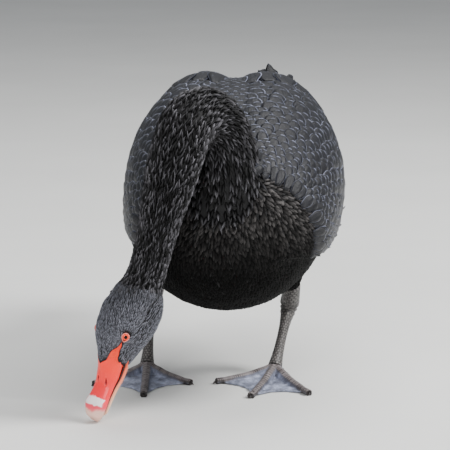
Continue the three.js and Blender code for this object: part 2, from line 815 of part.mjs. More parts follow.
// Head, eyes and bill
const sockets = [eyeSolid(1, GAP), eyeSolid(-1, GAP)];
const headWithLids = fuse([headSolid(), lidRing(1), lidRing(-1)]);
addNode("head", largest(sockets.reduce((sum, socket) => sum.subtract(socket), headWithLids)), NECK_PLUMAGE);
addNode("eye_left", eyeSolid(1, 0), EYE_RED);
addNode("eye_right", eyeSolid(-1, 0), EYE_RED);
const upperBill = billSolid(UPPER_STATIONS.map(shiftForward), { vee: FACE_VEE });
addNode("bill_upper", largest(upperBill.subtract(nostril(1)).subtract(nostril(-1))), BILL_RED);
addNode("bill_nail", billSolid(NAIL_STATIONS), BILL_NAIL);
addNode("bill_lower", billSolid(LOWER_STATIONS.map(shiftForward), { vee: FACE_VEE, lower: true }), LOWER_BILL);

function shiftForward(station, i) {
  return i === 0 ? [station[0] + GAP * 1.4, ...station.slice(1)] : station;
}

// Legs
for (const [name, leg] of Object.entries(LEGS)) {
  addNode(`thigh_${name}`, thighSolid(leg, [torsoCutter]), PLUMAGE);
  addNode(`shank_${name}`, shankSolid(leg), LEG_SKIN);
  const pieces = footPieces(name, leg);
  for (const [node, solid] of Object.entries(pieces)) {
    addNode(node, solid, node.startsWith("foot") ? WEB_SKIN : CLAW_HORN);
  }
}

// The origin is the middle of the bounding box on the ground.
const box = new THREE.Box3().setFromObject(bird);
bird.position.set(-(box.min.x + box.max.x) / 2, -(box.min.y + box.max.y) / 2, 0);
const swan = new THREE.Group();
swan.add(bird);
export default swan;
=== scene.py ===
import math

import bpy
import numpy as np
from mathutils import Matrix, Vector
from mathutils.bvhtree import BVHTree


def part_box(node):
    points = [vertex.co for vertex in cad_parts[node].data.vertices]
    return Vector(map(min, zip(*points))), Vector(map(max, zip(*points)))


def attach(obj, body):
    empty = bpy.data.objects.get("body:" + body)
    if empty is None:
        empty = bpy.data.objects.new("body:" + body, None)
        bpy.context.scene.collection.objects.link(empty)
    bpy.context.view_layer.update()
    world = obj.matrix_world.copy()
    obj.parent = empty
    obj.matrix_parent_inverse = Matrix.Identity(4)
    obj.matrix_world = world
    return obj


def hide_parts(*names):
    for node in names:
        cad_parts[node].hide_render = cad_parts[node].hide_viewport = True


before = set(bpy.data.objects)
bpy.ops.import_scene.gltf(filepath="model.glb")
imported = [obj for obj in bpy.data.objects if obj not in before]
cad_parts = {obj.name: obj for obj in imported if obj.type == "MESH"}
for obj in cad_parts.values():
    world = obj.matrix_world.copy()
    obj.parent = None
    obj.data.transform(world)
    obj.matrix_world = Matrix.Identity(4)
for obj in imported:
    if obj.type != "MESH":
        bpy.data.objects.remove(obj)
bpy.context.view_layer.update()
rng = np.random.default_rng(11)

# Driving sizes, the same as the solids'
TORSO_CENTRE = np.array([5.0, 0.0, 207.0])
TORSO_PITCH = math.radians(12)
TORSO_YAW = math.radians(3)
BILL_TIP = np.array([-144.0, -215.0, 5.7])
HEAD_MIDDLE_TO_TIP = 97.0
EYE_FORWARD, EYE_SPREAD, EYE_RISE, EYE_RADIUS = 3.0, 19.4, 6.0, 5.8
HEAD_ROLL = math.radians(38)
FACE_FRONT, FACE_VEE = 37.0, 0.85
COAT_DEPTH = 3.5  # the skin lies this far inside the feathered solids


def unit(v):
    """The vector, or each of several, at length 1."""
    return v / np.linalg.norm(v, axis=-1, keepdims=True)


def profile(pairs):
    """A smooth curve through pairs of place and value, with slopes from the neighbours."""
    x = np.array([p[0] for p in pairs], float)
    y = np.array([p[1] for p in pairs], float)
    slope = np.gradient(y, x)

    def at(place):
        place = np.clip(np.asarray(place, float), x[0], x[-1])
        i = np.clip(np.searchsorted(x, place) - 1, 0, len(x) - 2)
        h = x[i + 1] - x[i]
        t = (place - x[i]) / h
        a = (2 * t**3 - 3 * t**2 + 1) * y[i] + (t**3 - 2 * t**2 + t) * h * slope[i]
        return a + (3 * t**2 - 2 * t**3) * y[i + 1] + (t**3 - t**2) * h * slope[i + 1]

    return at


def row_profiles(rows):
    """One curve for each later column of the rows, over their first column."""
    return [profile([(row[0], row[k]) for row in rows]) for k in range(1, len(rows[0]))]


# Head axes
BILL_DIRECTION = unit(np.array([-0.304, -0.187, -0.934]))
TO_VIEWER = np.array([0.0, -0.976, 0.216])
VIEWER_RIGHT = unit(np.cross(TO_VIEWER, BILL_DIRECTION))
TOWARDS = unit(np.cross(BILL_DIRECTION, VIEWER_RIGHT))
HEAD_UP = TOWARDS * math.cos(HEAD_ROLL) - VIEWER_RIGHT * math.sin(HEAD_ROLL)
HEAD_LEFT = np.cross(HEAD_UP, BILL_DIRECTION)
HEAD_MIDDLE = BILL_TIP - BILL_DIRECTION * HEAD_MIDDLE_TO_TIP


def head_place(forward, left, up):
    """A point from distances along the head's axes. They start at the middle of the head."""
    forward, left, up = np.broadcast_arrays(forward, left, up)
    turned = forward[..., None] * BILL_DIRECTION + left[..., None] * HEAD_LEFT + up[..., None] * HEAD_UP
    return turned + HEAD_MIDDLE


def head_coordinates(points):
    """How far points lie forward, left and up from the head's middle."""
    away = points - HEAD_MIDDLE
    return away @ BILL_DIRECTION, away @ HEAD_LEFT, away @ HEAD_UP


def box_middle(name):
    """The middle of a CAD node's box, in millimetres."""
    low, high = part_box(name)
    return (np.array(low) + np.array(high)) * 500


# The frame's origin, found from the eyes
SHIFT = np.zeros(3)
for eye_name, eye_side in (("eye_left", 1), ("eye_right", -1)):
    SHIFT += (box_middle(eye_name) - head_place(EYE_FORWARD, eye_side * EYE_SPREAD, EYE_RISE)) / 2
SHIFT[2] = 0

# Torso axes: u runs to the tail, v to the left, w up
PITCH = Matrix.Rotation(TORSO_PITCH, 3, "X")
TORSO_TURN = np.array(Matrix.Rotation(-TORSO_YAW, 3, "Z") @ PITCH)
TAILWARD, LEFTWARD, UPWARD = TORSO_TURN[:, 1], TORSO_TURN[:, 0], TORSO_TURN[:, 2]


def torso_place(u, v, w):
    """A point from distances along the torso's axes."""
    u, v, w = np.broadcast_arrays(u, v, w)
    return u[..., None] * TAILWARD + v[..., None] * LEFTWARD + w[..., None] * UPWARD + TORSO_CENTRE


def torso_coordinates(points):
    """How far points lie to the tail, left and up from the torso's middle."""
    away = points - TORSO_CENTRE
    return away @ TAILWARD, away @ LEFTWARD, away @ UPWARD


# Folded wings, as in the solids
WING_SPAN = profile(
    [
        (-175, 78), (-130, 108), (-70, 123), (0, 129), (70, 128),
        (130, 117), (190, 96), (250, 70), (310, 46), (360, 34),
    ]
)
WING_TOP = profile(
    [
        (-175, 62), (-130, 86), (-70, 101), (0, 107), (70, 106),
        (130, 97), (190, 80), (250, 52), (310, 26), (360, 10),
    ]
)
WING_ARCH_CENTRE = profile([(-175, 20), (-70, 34), (70, 38), (190, 34), (310, 16), (360, 10)])
WING_FLANK = profile([(-175, 40), (-70, 82), (70, 86), (190, 60), (310, 36), (360, 26)])
WINGS = {"left": dict(side=1, tuck=0, skirt=110), "right": dict(side=-1, tuck=9, skirt=97)}


def wing_edge(skirt, u):
    """Where the wing's lower edge lies, in degrees round its arch. It rises from the thigh to the rear."""
    return skirt - 0.17 * np.maximum(0, u - 60)


def wing_place(wing, u, degrees, lift):
    """A point on a folded wing: degrees run round its arch from the crest out, and lift rises off it."""
    u, degrees, lift = np.broadcast_arrays(np.asarray(u, float), degrees, lift)
    angle = np.radians(degrees)
    centre = WING_ARCH_CENTRE(u)
    reach = WING_SPAN(u) - centre - wing["tuck"]
    height = np.where(np.cos(angle) > 0, WING_TOP(u), WING_FLANK(u))
    v = centre + (reach + lift) * np.sin(angle)
    return torso_place(u, wing["side"] * v, (height + lift) * np.cos(angle))


# Neck
NECK_POINTS = np.array(
    [
        (2, -76, 176), (-2, -108, 200), (-3, -131, 236), (-4, -140, 276), (-10, -152, 308),
        (-24, -174, 323), (-40, -196, 313), (-51, -207, 280), (-59, -209, 250), (-67, -208, 218),
        (-74, -204, 188), (-81, -197, 161), (-89, -190, 138), (-96, -184, 118),
    ],
    float,
)
NECK_RADIUS = profile(
    [
        (0, 60), (0.1, 53), (0.2, 43), (0.3, 34), (0.38, 30), (0.48, 30), (0.56, 29),
        (0.66, 25), (0.76, 22), (0.83, 21.5), (0.89, 23), (0.95, 26), (1, 28),
    ]
)


def arc_table(points, count):
    """Evenly spaced points on a smooth curve through the given ones."""
    chord = np.sqrt(np.linalg.norm(np.diff(points, axis=0), axis=1))
    knots = np.concatenate([[0], np.cumsum(chord)])
    axes = [profile(list(zip(knots, points[:, k]))) for k in range(3)]
    fine = np.linspace(0, knots[-1], 1200)
    dense = np.stack([axis(fine) for axis in axes], -1)
    run = np.concatenate([[0], np.cumsum(np.linalg.norm(np.diff(dense, axis=0), axis=1))])
    even = np.linspace(0, run[-1], count)
    return np.stack([np.interp(even, run, dense[:, k]) for k in range(3)], -1), run[-1]


NECK_STATIONS, NECK_SEARCH_STEP = 400, 4
NECK_LINE, NECK_LENGTH = arc_table(NECK_POINTS, NECK_STATIONS + 1)
NECK_ALONG = unit(np.gradient(NECK_LINE, axis=0))
NECK_SIDE = unit(np.array([1.0, 0, 0]) - NECK_ALONG * NECK_ALONG[:, :1])
NECK_OUT = np.cross(NECK_SIDE, NECK_ALONG)


def neck_share(points):
    """How far along the neck each point lies, from 0 in the torso to 1 at the head, and how far off it."""
    away = np.linalg.norm(points[:, None, :] - NECK_LINE[None, ::NECK_SEARCH_STEP, :], axis=2)
    nearest = away.argmin(1)
    return nearest * NECK_SEARCH_STEP / NECK_STATIONS, away.min(1)


# Mesh making
def to_row(points):
    """Stance millimetres as metres in the frame."""
    return (np.asarray(points, float) + SHIFT) * 0.001


def make_mesh(name, points, faces, uvs=None, attributes=None):
    """A mesh object from stance millimetres. A UV map holds a pair for each point, an attribute a number."""
    mesh = bpy.data.meshes.new(name)
    mesh.from_pydata(to_row(points).tolist(), [], [tuple(int(i) for i in f) for f in faces])
    corners = np.empty(len(mesh.loops), dtype=np.int32)
    mesh.loops.foreach_get("vertex_index", corners)
    for uv_name, pairs in (uvs or {}).items():
        layer = mesh.uv_layers.new(name=uv_name)
        layer.data.foreach_set("uv", np.asarray(pairs, np.float32)[corners].ravel())
    for key, values in (attributes or {}).items():
        layer = mesh.attributes.new(key, "FLOAT", "POINT")
        layer.data.foreach_set("value", np.asarray(values, np.float32))
    mesh.polygons.foreach_set("use_smooth", np.ones(len(mesh.polygons), dtype=bool))
    made = bpy.data.objects.new(name, mesh)
    bpy.context.scene.collection.objects.link(made)
    return made


def tube_faces(rings, sides):
    """The side faces between rings of points."""
    i = np.arange(rings - 1)[:, None] * sides
    j = np.arange(sides)[None, :]
    k = (j + 1) % sides
    quads = np.stack([i + j, i + k, i + sides + k, i + sides + j], -1)
    return quads.reshape(-1, 4).tolist()


def tube(rings):
    """Points and faces of a closed tube from an array of rings, with a middle point at each end."""
    count, sides, _ = rings.shape
    points = rings.reshape(-1, 3)
    points = np.vstack([points, rings[0].mean(0), rings[-1].mean(0)])
    start, end = count * sides, count * sides + 1
    last = (count - 1) * sides
    faces = tube_faces(count, sides)
    for j in range(sides):
        k = (j + 1) % sides
        faces.append((k, j, start))
        faces.append((last + j, last + k, end))
    return points, faces


def facing_out(points, faces):
    """The same faces, turned over if the solid came out inside out."""
    p = np.asarray(points)
    volume = 0.0
    for f in faces:
        for a, b in zip(f[1:-1], f[2:]):
            volume += np.dot(p[f[0]], np.cross(p[a], p[b]))
    return faces if volume > 0 else [tuple(reversed(f)) for f in faces]


def solid(name, points, faces, **kinds):
    """A closed mesh object whose faces point outwards."""
    return make_mesh(name, points, facing_out(points, faces), **kinds)


def finished(piece, material, slot, *nodes):
    """The piece with its material and body, standing for the CAD nodes that it hides. The slot is not used.
    """
    piece.data.materials.append(material)
    if nodes:
        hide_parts(*nodes)
    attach(piece, "root")
    return piece


def plain_copy(node_name):
    """A copy of a CAD node's mesh with its doubles merged, for shapes that grow out of it."""
    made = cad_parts[node_name].copy()
    made.data = made.data.copy()
    made.data.materials.clear()
    made.name = "copy_" + node_name
    bpy.context.scene.collection.objects.link(made)
    weld = made.modifiers.new("weld", "WELD")
    weld.merge_threshold = 0.00002
    return made


def applied(piece):
    """The piece with its modifiers made part of its mesh."""
    view = bpy.context.evaluated_depsgraph_get()
    mesh = bpy.data.meshes.new_from_object(piece.evaluated_get(view))
    piece.modifiers.clear()
    piece.data = mesh
    return piece


def joined(pieces, name):
    """One mesh object from several, with the parts' meshes side by side."""
    points, faces = [], []
    count = 0
    for piece in pieces:
        mesh = piece.data
        here = np.empty(len(mesh.vertices) * 3)
        mesh.vertices.foreach_get("co", here)
        points.append(here.reshape(-1, 3))
        faces += [tuple(v + count for v in f.vertices) for f in mesh.polygons]
        count += len(mesh.vertices)
        bpy.data.objects.remove(piece)
    return make_mesh(name, np.vstack(points) * 1000 - SHIFT, faces)


def remeshed(piece, voxel, rounds):
    """The piece as one even skin, its creases eased by rounds of smoothing. The voxel is in millimetres."""
    remesh = piece.modifiers.new("remesh", "REMESH")
    remesh.mode = "VOXEL"
    remesh.voxel_size = voxel * 0.001
    remesh.use_smooth_shade = True
    smooth = piece.modifiers.new("smooth", "SMOOTH")
    smooth.iterations = rounds
    smooth.factor = 0.5
    return applied(piece)


def mesh_points(mesh):
    """A mesh's points in stance millimetres, and their normals."""
    points = np.empty(len(mesh.vertices) * 3)
    mesh.vertices.foreach_get("co", points)
    normals = np.empty(len(mesh.vertices) * 3)
    mesh.vertex_normals.foreach_get("vector", normals)
    return points.reshape(-1, 3) * 1000 - SHIFT, normals.reshape(-1, 3)


# Materials
def linear(code):
    """An sRGB hex colour as a linear RGBA value."""
    parts = [int(code[i : i + 2], 16) / 255 for i in (1, 3, 5)]
    return tuple(c / 12.92 if c <= 0.04045 else ((c + 0.055) / 1.055) ** 2.4 for c in parts) + (1.0,)


def add(tree, kind, inputs=(), out=0, stops=(), **settings):
    """One output of a new node, with its settings and with values or links on its inputs.

    The inputs are in the sockets' order, or keyed by name or number. The stops are a colour ramp's positions
    and hex codes.
    """
    made = tree.nodes.new("ShaderNode" + kind)
    for name, value in settings.items():
        setattr(made, name, value)
    for socket, value in inputs.items() if isinstance(inputs, dict) else enumerate(inputs):
        if isinstance(value, bpy.types.NodeSocket):
            tree.links.new(value, made.inputs[socket])
        else:
            made.inputs[socket].default_value = value
    for i, (place, code) in enumerate(stops):
        elements = made.color_ramp.elements
        element = elements[i] if i < len(elements) else elements.new(place)
        element.position = place
        element.color = linear(code)
    return made.outputs[out]


def new_look(name, roughness, **sockets):
    """A material with its constant sockets set, and its node tree."""
    material = bpy.data.materials.new(name)
    material.use_nodes = True
    shader = material.node_tree.nodes["Principled BSDF"]
    shader.inputs["Roughness"].default_value = roughness
    for socket, value in sockets.items():
        shader.inputs[socket.replace("_", " ")].default_value = value
    return material, material.node_tree


def surface(material, colour, relief=None, strength=0.0, height=0.0):
    """The material with its colour and any fine relief put on. The height is in metres."""
    tree = material.node_tree
    shader = tree.nodes["Principled BSDF"]
    tree.links.new(colour, shader.inputs["Base Color"])
    if relief is not None:
        bump = add(tree, "Bump", {"Height": relief, "Strength": strength, "Distance": height})
        tree.links.new(bump, shader.inputs["Normal"])
    return material


# Settings that several nodes share
SMOOTH = {"interpolation_type": "SMOOTHSTEP"}
COLOURS = {"data_type": "RGBA"}


def mottle(tree, per_metre, detail=3.0, roughness=0.55):
    """Uneven natural tone over a piece. Lumps are a metre over per_metre wide, so 900 gives 1.1 mm."""
    place = add(tree, "TexCoord", out="Object")
    grain = {"Vector": place, "Scale": per_metre, "Detail": detail, "Roughness": roughness}
    return add(tree, "TexNoise", grain)


def feather_keratin(name, dark, middle, edge, edge_share=0.55, roughness=0.5, barbs=26.0, gloss=0.35):
    """Dark feather keratin: fine slanted barbs from a central shaft, worn paler at the edge and the tip."""
    material, tree = new_look(name, roughness, Specular_IOR_Level=gloss)
    vane = add(tree, "UVMap", uv_map="Vane")
    across = add(tree, "SeparateXYZ", (vane,), "X")
    along = add(tree, "SeparateXYZ", (vane,), "Y")
    shade = add(tree, "Attribute", out="Fac", attribute_name="shade")
    centred = add(tree, "Math", (across, 0.5), operation="SUBTRACT")
    off_middle = add(tree, "Math", (centred,), operation="ABSOLUTE")
    off_middle = add(tree, "Math", (off_middle, 2.0), operation="MULTIPLY")
    side_reach = (off_middle, 1 - 0.4 * edge_share, 1 - 0.1 * edge_share)
    tip_reach = (along, 1 - 0.2 * edge_share, 1 - 0.06 * edge_share)
    side_edge = add(tree, "MapRange", side_reach, **SMOOTH)
    tip_edge = add(tree, "MapRange", tip_reach, **SMOOTH)
    rim = add(tree, "Math", (side_edge, tip_edge), operation="MAXIMUM")
    swept = add(tree, "Math", (off_middle, -0.22), operation="MULTIPLY")
    slant = add(tree, "Math", (along, swept), operation="ADD")
    turns = add(tree, "Math", (slant, barbs * 6.283), operation="MULTIPLY")
    stripe = add(tree, "Math", (turns,), operation="SINE")
    barb = add(tree, "Math", (stripe, 0.5), operation="MULTIPLY")
    barb = add(tree, "Math", (barb, 0.5), operation="ADD")
    lit = add(tree, "Math", (barb, shade), operation="MULTIPLY")
    body = add(tree, "Mix", {0: lit, 6: linear(dark), 7: linear(middle)}, 2, **COLOURS)
    paleness = add(tree, "Math", (rim, shade), operation="MULTIPLY")
    colour = add(tree, "Mix", {0: paleness, 6: body, 7: linear(edge)}, 2, **COLOURS)
    shaft = add(tree, "MapRange", (off_middle, 0.1, 0.03), **SMOOTH)
    shaft_tone = add(tree, "Math", (shaft, 0.6), operation="MULTIPLY")
    colour = add(tree, "Mix", {0: shaft_tone, 6: colour, 7: linear(dark)}, 2, **COLOURS)
    barb_height = add(tree, "Math", (barb, 0.6), operation="MULTIPLY")
    shaft_height = add(tree, "Math", (shaft, 0.8), operation="MULTIPLY")
    relief = add(tree, "Math", (barb_height, shaft_height), operation="ADD")
    return surface(material, colour, relief, 0.35, 0.0004)


def down_tuft(name, root, tip, roughness, gloss, heights=None):
    """Short loose feather tufts: dark at the root as painted shade between the tufts, and greyer at the tip
    as painted highlight.

    heights are where the tips stay dark and where they are palest, in metres over the ground.
    """
    material, tree = new_look(name, roughness, Specular_IOR_Level=gloss)
    vane = add(tree, "UVMap", uv_map="Vane")
    across = add(tree, "SeparateXYZ", (vane,), "X")
    along = add(tree, "SeparateXYZ", (vane,), "Y")
    shade = add(tree, "Attribute", out="Fac", attribute_name="shade")
    strands = add(tree, "Math", (across, 40.0), operation="MULTIPLY")
    strands = add(tree, "Math", (strands,), operation="SINE")
    strands = add(tree, "Math", (strands, 0.25), operation="MULTIPLY")
    strands = add(tree, "Math", (strands, 0.75), operation="ADD")
    # Along each tuft the colour runs from the root's painted shade to the tip's painted highlight.
    tip_share = add(tree, "MapRange", (along, 0.15, 1.0), **SMOOTH)
    paler = add(tree, "Math", (tip_share, shade), operation="MULTIPLY")
    # The tips can fade with height over the ground. On the breast this is painted shade, darkening its lower
    # part, which faces the ground.
    if heights:
        place = add(tree, "TexCoord", out="Object")
        rise = add(tree, "SeparateXYZ", (place,), "Z")
        wander = add(tree, "Math", (mottle(tree, 30), 0.03), operation="MULTIPLY")
        rise = add(tree, "Math", (rise, wander), operation="ADD")
        lit = add(tree, "MapRange", (rise, *heights), **SMOOTH)
        paler = add(tree, "Math", (paler, lit), operation="MULTIPLY")
    paler = add(tree, "Math", (paler, strands), operation="MULTIPLY")
    colour = add(tree, "Mix", {0: paler, 6: linear(root), 7: linear(tip)}, 2, **COLOURS)
    return surface(material, colour, strands, 0.4, 0.0003)


def dark_skin():
    """Skin under the coat: matt charcoal down with a soft mottle, near black partly as its own colour and
    partly as painted shade where it shows in the grooves between feathers.
    """
    material, tree = new_look("charcoal_down_skin", 0.85)
    # Near black: partly painted shade for the grooves between tufts where this skin shows.
    colour = add(tree, "ValToRGB", (mottle(tree, 220),), stops=[(0.35, "#050506"), (0.7, "#0c0b0d")])
    return surface(material, colour)


# Feather laying
class Ground:
    """A surface that feathers are laid on, with nearest-point lookups in stance millimetres."""

    def __init__(self, piece):
        mesh = piece.data
        points, _ = mesh_points(mesh)
        self.points = points
        self.faces = [tuple(f.vertices) for f in mesh.polygons]
        self.tree = BVHTree.FromPolygons([Vector(p) for p in points], self.faces)

    def nearest(self, p):
        place, normal, _, _ = self.tree.find_nearest(Vector(p))
        return np.array(place), np.array(normal)

    def gap(self, p):
        """How far the surface is from a point."""
        return self.tree.find_nearest(Vector(p))[3]


def walk(ground, root, direction, length, steps):
    """A path that hugs the ground: places, ways out and ways across at each station."""
    p, n = ground.nearest(root)
    d = np.asarray(direction, float)
    places, outs, sides = [], [], []
    for i in range(steps):
        d = d - n * np.dot(d, n)
        d = d / (np.linalg.norm(d) + 1e-9)
        places.append(p)
        outs.append(n)
        sides.append(np.cross(n, d))
        if i + 1 < steps:
            q, m = ground.nearest(p + d * length / (steps - 1))
            p = q
            n = m + n
            n = n / (np.linalg.norm(n) + 1e-9)
    return np.array(places), np.array(outs), np.array(sides)


VANE_COLUMNS = np.array([-1.0, -0.55, 0.0, 0.55, 1.0])
TUFT_COLUMNS = np.array([-1.0, 0.0, 1.0])
FACE_PATTERNS = {}


class Coat:
    """Collects feathers and makes one mesh of them."""

    def __init__(self, name):
        self.name = name
        self.points, self.faces, self.vane, self.bake, self.shade = [], [], [], [], []
        self.count = 0

    def lay(self, path, half_widths, lifts, patch, shade, thick=0.6, sink=0.0, lean=0.0, ruffle=None):
        """One closed vane on a path of places, ways out and ways across.

        sink drops its edges, lean tips it to one side, ruffle waves each edge, and a narrow one is a tuft
        with a ridge in place of a flat blade.
        """
        places, outs, sides = path
        steps = len(places)
        columns = TUFT_COLUMNS if sink < 0 else VANE_COLUMNS
        depth = abs(sink)
        height = lifts[:, None] - depth * columns**2 + lean * columns
        if ruffle is not None:
            height = height + ruffle[:, None] * columns * np.abs(columns)
        spread = columns * half_widths[:, None]
        top = places[:, None] + sides[:, None] * spread[..., None] + outs[:, None] * height[..., None]
        middle = len(columns) // 2
        under = top[:, middle] - outs * (thick + depth * 0.7)
        ring = np.concatenate([top, under[:, None]], 1)
        size = len(columns) + 1
        self.points.append(ring.reshape(-1, 3))
        self.faces += vane_faces(steps, size, self.count)
        vane = np.empty((steps, size, 2))
        vane[:, :-1, 0] = (columns + 1) / 2
        vane[:, -1, 0] = 0.5
        vane[:, :, 1] = np.linspace(0, 1, steps)[:, None]
        vane = vane.reshape(-1, 2)
        self.vane.append(vane)
        self.bake.append(np.asarray(patch)[None, :] * 0.98 + 0.01 + (vane - 0.5) * 0.003)
        self.shade.append(np.full(steps * size, shade))
        self.count += steps * size

    def made(self):
        """The mesh of every feather laid so far, with a place on each for the baked colours."""
        uvs = {"OFBake": np.vstack(self.bake), "Vane": np.vstack(self.vane)}
        shade = {"shade": np.concatenate(self.shade)}
        return make_mesh(self.name, np.vstack(self.points), self.faces, uvs, shade)


def vane_faces(steps, size, offset):
    """Faces of one closed vane with size points a ring, its ends closed."""
    key = (steps, size)
    if key not in FACE_PATTERNS:
        faces = []
        for i in range(steps - 1):
            for j in range(size):
                k = (j + 1) % size
                a, b = i * size, (i + 1) * size
                faces.append((a + k, a + j, b + j, b + k))
        end = (steps - 1) * size
        under = size - 1
        for j in range(size - 2):
            faces.append((j, j + 1, under))
            faces.append((end + under, end + j + 1, end + j))
        FACE_PATTERNS[key] = faces
    return [tuple(v + offset for v in f) for f in FACE_PATTERNS[key]]


def rounded(steps, half_width, point=0.15, root=0.5):
    """Half widths of a feather that widens from its root and ends in a round tip."""
    s = np.linspace(0, 1, steps)
    body = root + (1 - root) * np.minimum(1, s / 0.45)
    end = np.sqrt(np.clip(1 - (np.clip(s - 0.55, 0, 1) / 0.45) ** 2, 0, 1))
    return half_width * np.maximum(body * end, point)


def pointed(steps, half_width):
    """Half widths of a tuft that narrows to a point."""
    s = np.linspace(0, 1, steps)
    return half_width * np.maximum(np.minimum(1, 0.7 + s) * (1 - s**2.2), 0.06)


# Skin under the coat
def closed_sheet(top, under):
    """Points and faces of a plate from two grids of points of the same size."""
    rows, columns, _ = top.shape
    count = rows * columns
    points = np.vstack([top.reshape(-1, 3), under.reshape(-1, 3)])
    faces = []
    for i in range(rows - 1):
        for j in range(columns - 1):
            a, b = i * columns + j, (i + 1) * columns + j
            faces.append((a, b, b + 1, a + 1))
            faces.append((count + a, count + a + 1, count + b + 1, count + b))
    rim = list(range(columns))
    rim += [i * columns + columns - 1 for i in range(1, rows)]
    rim += [(rows - 1) * columns + j for j in range(columns - 2, -1, -1)]
    rim += [i * columns for i in range(rows - 2, 0, -1)]
    for a, b in zip(rim, rim[1:] + rim[:1]):
        faces.append((a, b, count + b, count + a))
    return points, faces


SHOULDER_START, SHOULDER_DEPTH = -140.0, 34.0


def shoulder(points, wing):
    """The same points, drawn in to a round shoulder where they lie in front of the wing."""
    u, v, w = torso_coordinates(points)
    ahead = np.clip((SHOULDER_START - u) / SHOULDER_DEPTH, 0, 1)
    size = 0.3 + 0.7 * np.sqrt(1 - ahead**2)
    middle = 30 * wing["side"]
    return torso_place(u, middle + (v - middle) * size, w * size)


def wing_body(name, wing):
    """The smooth body of a folded wing, sunk into the torso."""
    stations, columns = 44, 30
    top = np.empty((stations, columns, 3))
    under = np.empty((stations, columns, 3))
    for i, u in enumerate(np.linspace(SHOULDER_START - SHOULDER_DEPTH, 208, stations)):
        centre = WING_ARCH_CENTRE(u)
        fold = math.asin(min(0.9, (centre - 3) / (WING_SPAN(u) - centre - wing["tuck"])))
        degrees = np.linspace(-math.degrees(fold), wing_edge(wing["skirt"], u), columns)
        fill = min(1, (226 - u) / 70)
        edge = 0.2 + 0.8 * np.sin(np.pi * np.linspace(0.12, 0.88, columns))
        top[i] = wing_place(wing, u, degrees, -4 * (1 - fill) - 3 * (1 - edge) - 1)
        under[i] = wing_place(wing, u, degrees, -5 - 36 * fill * edge)
    points, faces = closed_sheet(top, under)
    return solid(name, shoulder(points, wing), faces)


def mantle_place(u, v, lift):
    """The saddle of the upper back between the folded wings."""
    return torso_place(u, v, WING_TOP(u) - 6 - 0.004 * np.square(v) + lift)


def mantle():
    """The body of the upper back."""
    across = np.linspace(-46, 46, 18)
    along = np.linspace(-70, 206, 36)
    top = np.array([mantle_place(u, across, -2.0) for u in along])
    under = np.array([mantle_place(u, across, -34.0) for u in along])
    points, faces = closed_sheet(top, under)
    return solid("mantle_core", points, faces)


def rump():
    """The root of the tail, under its coverts."""
    stations = np.array([(160, 64, 44, 36), (200, 52, 32, 26), (232, 38, 19, 15), (262, 25, 9, 7)], float)
    angle = np.linspace(0, 2 * np.pi, 24, endpoint=False)
    rings = []
    for u, half, up, down in stations:
        w = np.cos(angle) * np.where(np.cos(angle) > 0, up, down) - 6
        rings.append(torso_place(u, half * np.sin(angle), w))
    points, faces = tube(np.array(rings))
    return solid("rump_core", points, faces)


FLESH = ("torso", "neck_base", "neck_arch", "neck_middle", "neck_upper")
THIGHS = {
    "left": (np.array([68.0, 4, 132]), np.array([75.0, 25, 104])),
    "right": (np.array([-66.0, 14, 132]), np.array([-75.0, 37, 105])),
}


def thigh_skin(name, knee, low):
    """The feathered thigh, which ends above the bare ankle."""
    along = unit(low - knee)
    side = unit(np.array([1.0, 0, 0]) - along * along[0])
    front = np.cross(side, along)
    angle = np.linspace(0, 2 * np.pi, 24, endpoint=False)
    rings = []
    for t in np.linspace(-0.2, 1, 9):
        size = 31 - 16 * max(0, t) ** 1.2
        ring = side * np.cos(angle)[:, None] * 0.8 + front * np.sin(angle)[:, None]
        rings.append(knee + (low - knee) * t + ring * size)
    points, faces = tube(np.array(rings))
    return solid(name, points, faces)


def nape():
    """The back of the head, so that the neck's skin widens smoothly into it."""
    around = np.linspace(0, 2 * np.pi, 60, endpoint=False)
    rings = np.array([head_surface(f, around, -2.2) for f in np.linspace(-58, -34, 14)])
    points, faces = tube(rings)
    return solid("nape_core", points, faces)


def body_skin():
    """One skin over the torso, neck, wings and thighs, pulled in to leave room for the coat."""
    parts = [applied(plain_copy(name)) for name in FLESH]
    parts += [wing_body(f"wing_body_{name}", wing) for name, wing in WINGS.items()]
    parts += [rump(), mantle(), nape()]
    parts += [thigh_skin(f"thigh_skin_{name}", *ends) for name, ends in THIGHS.items()]
    skin = remeshed(joined(parts, "body_skin"), 3.6, 10)
    points, normals = mesh_points(skin.data)
    moved = to_row(points - normals * COAT_DEPTH)
    skin.data.vertices.foreach_set("co", moved.ravel())
    skin.data.update()
    return skin


# Head, as in the solids: place, crown, throat, half width and lean to the left
HEAD_ROWS = [
    (-66, 4, 10, 8, 14), (-57, 12, 22, 17, 13), (-47, 18, 32, 25, 11), (-36, 17.5, 44, 26, 7.5),
    (-24, 21, 50, 27, 4), (-12, 22, 51, 25.5, 2.5), (0, 21.8, 48, 24, 1), (10, 19, 44, 21.5, 0),
    (20, 15.5, 39.5, 18.5, 0), (29, 11.5, 35, 15.5, 0), (37, 9.5, 29.5, 13.6, 0),
]
HEAD_CROWN, HEAD_THROAT, HEAD_WIDTH, HEAD_LEAN = row_profiles(HEAD_ROWS)
HEAD_REAR = -58.0
EYES = {"left": 1, "right": -1}
EYE_SET_IN = 1.9  # how far the dressed eye sits inside the solid one
LID_RISE, LID_RADIUS = 4.3, 4.15  # how far out of the eye's middle the lid lies, and how wide it is
FACE_INSET = 0.9  # the head's skin lies this far inside the solid head


def eye_way(side):
    """The way an eye looks: out, a little up and forward."""
    return unit(HEAD_LEFT * side * 0.83 + HEAD_UP * 0.54 + BILL_DIRECTION * 0.12)


def eye_place(side, off=0.0):
    """The eye's middle, or a point that far out along the way it looks."""
    return head_place(EYE_FORWARD, side * EYE_SPREAD, EYE_RISE) + eye_way(side) * (off - EYE_SET_IN)


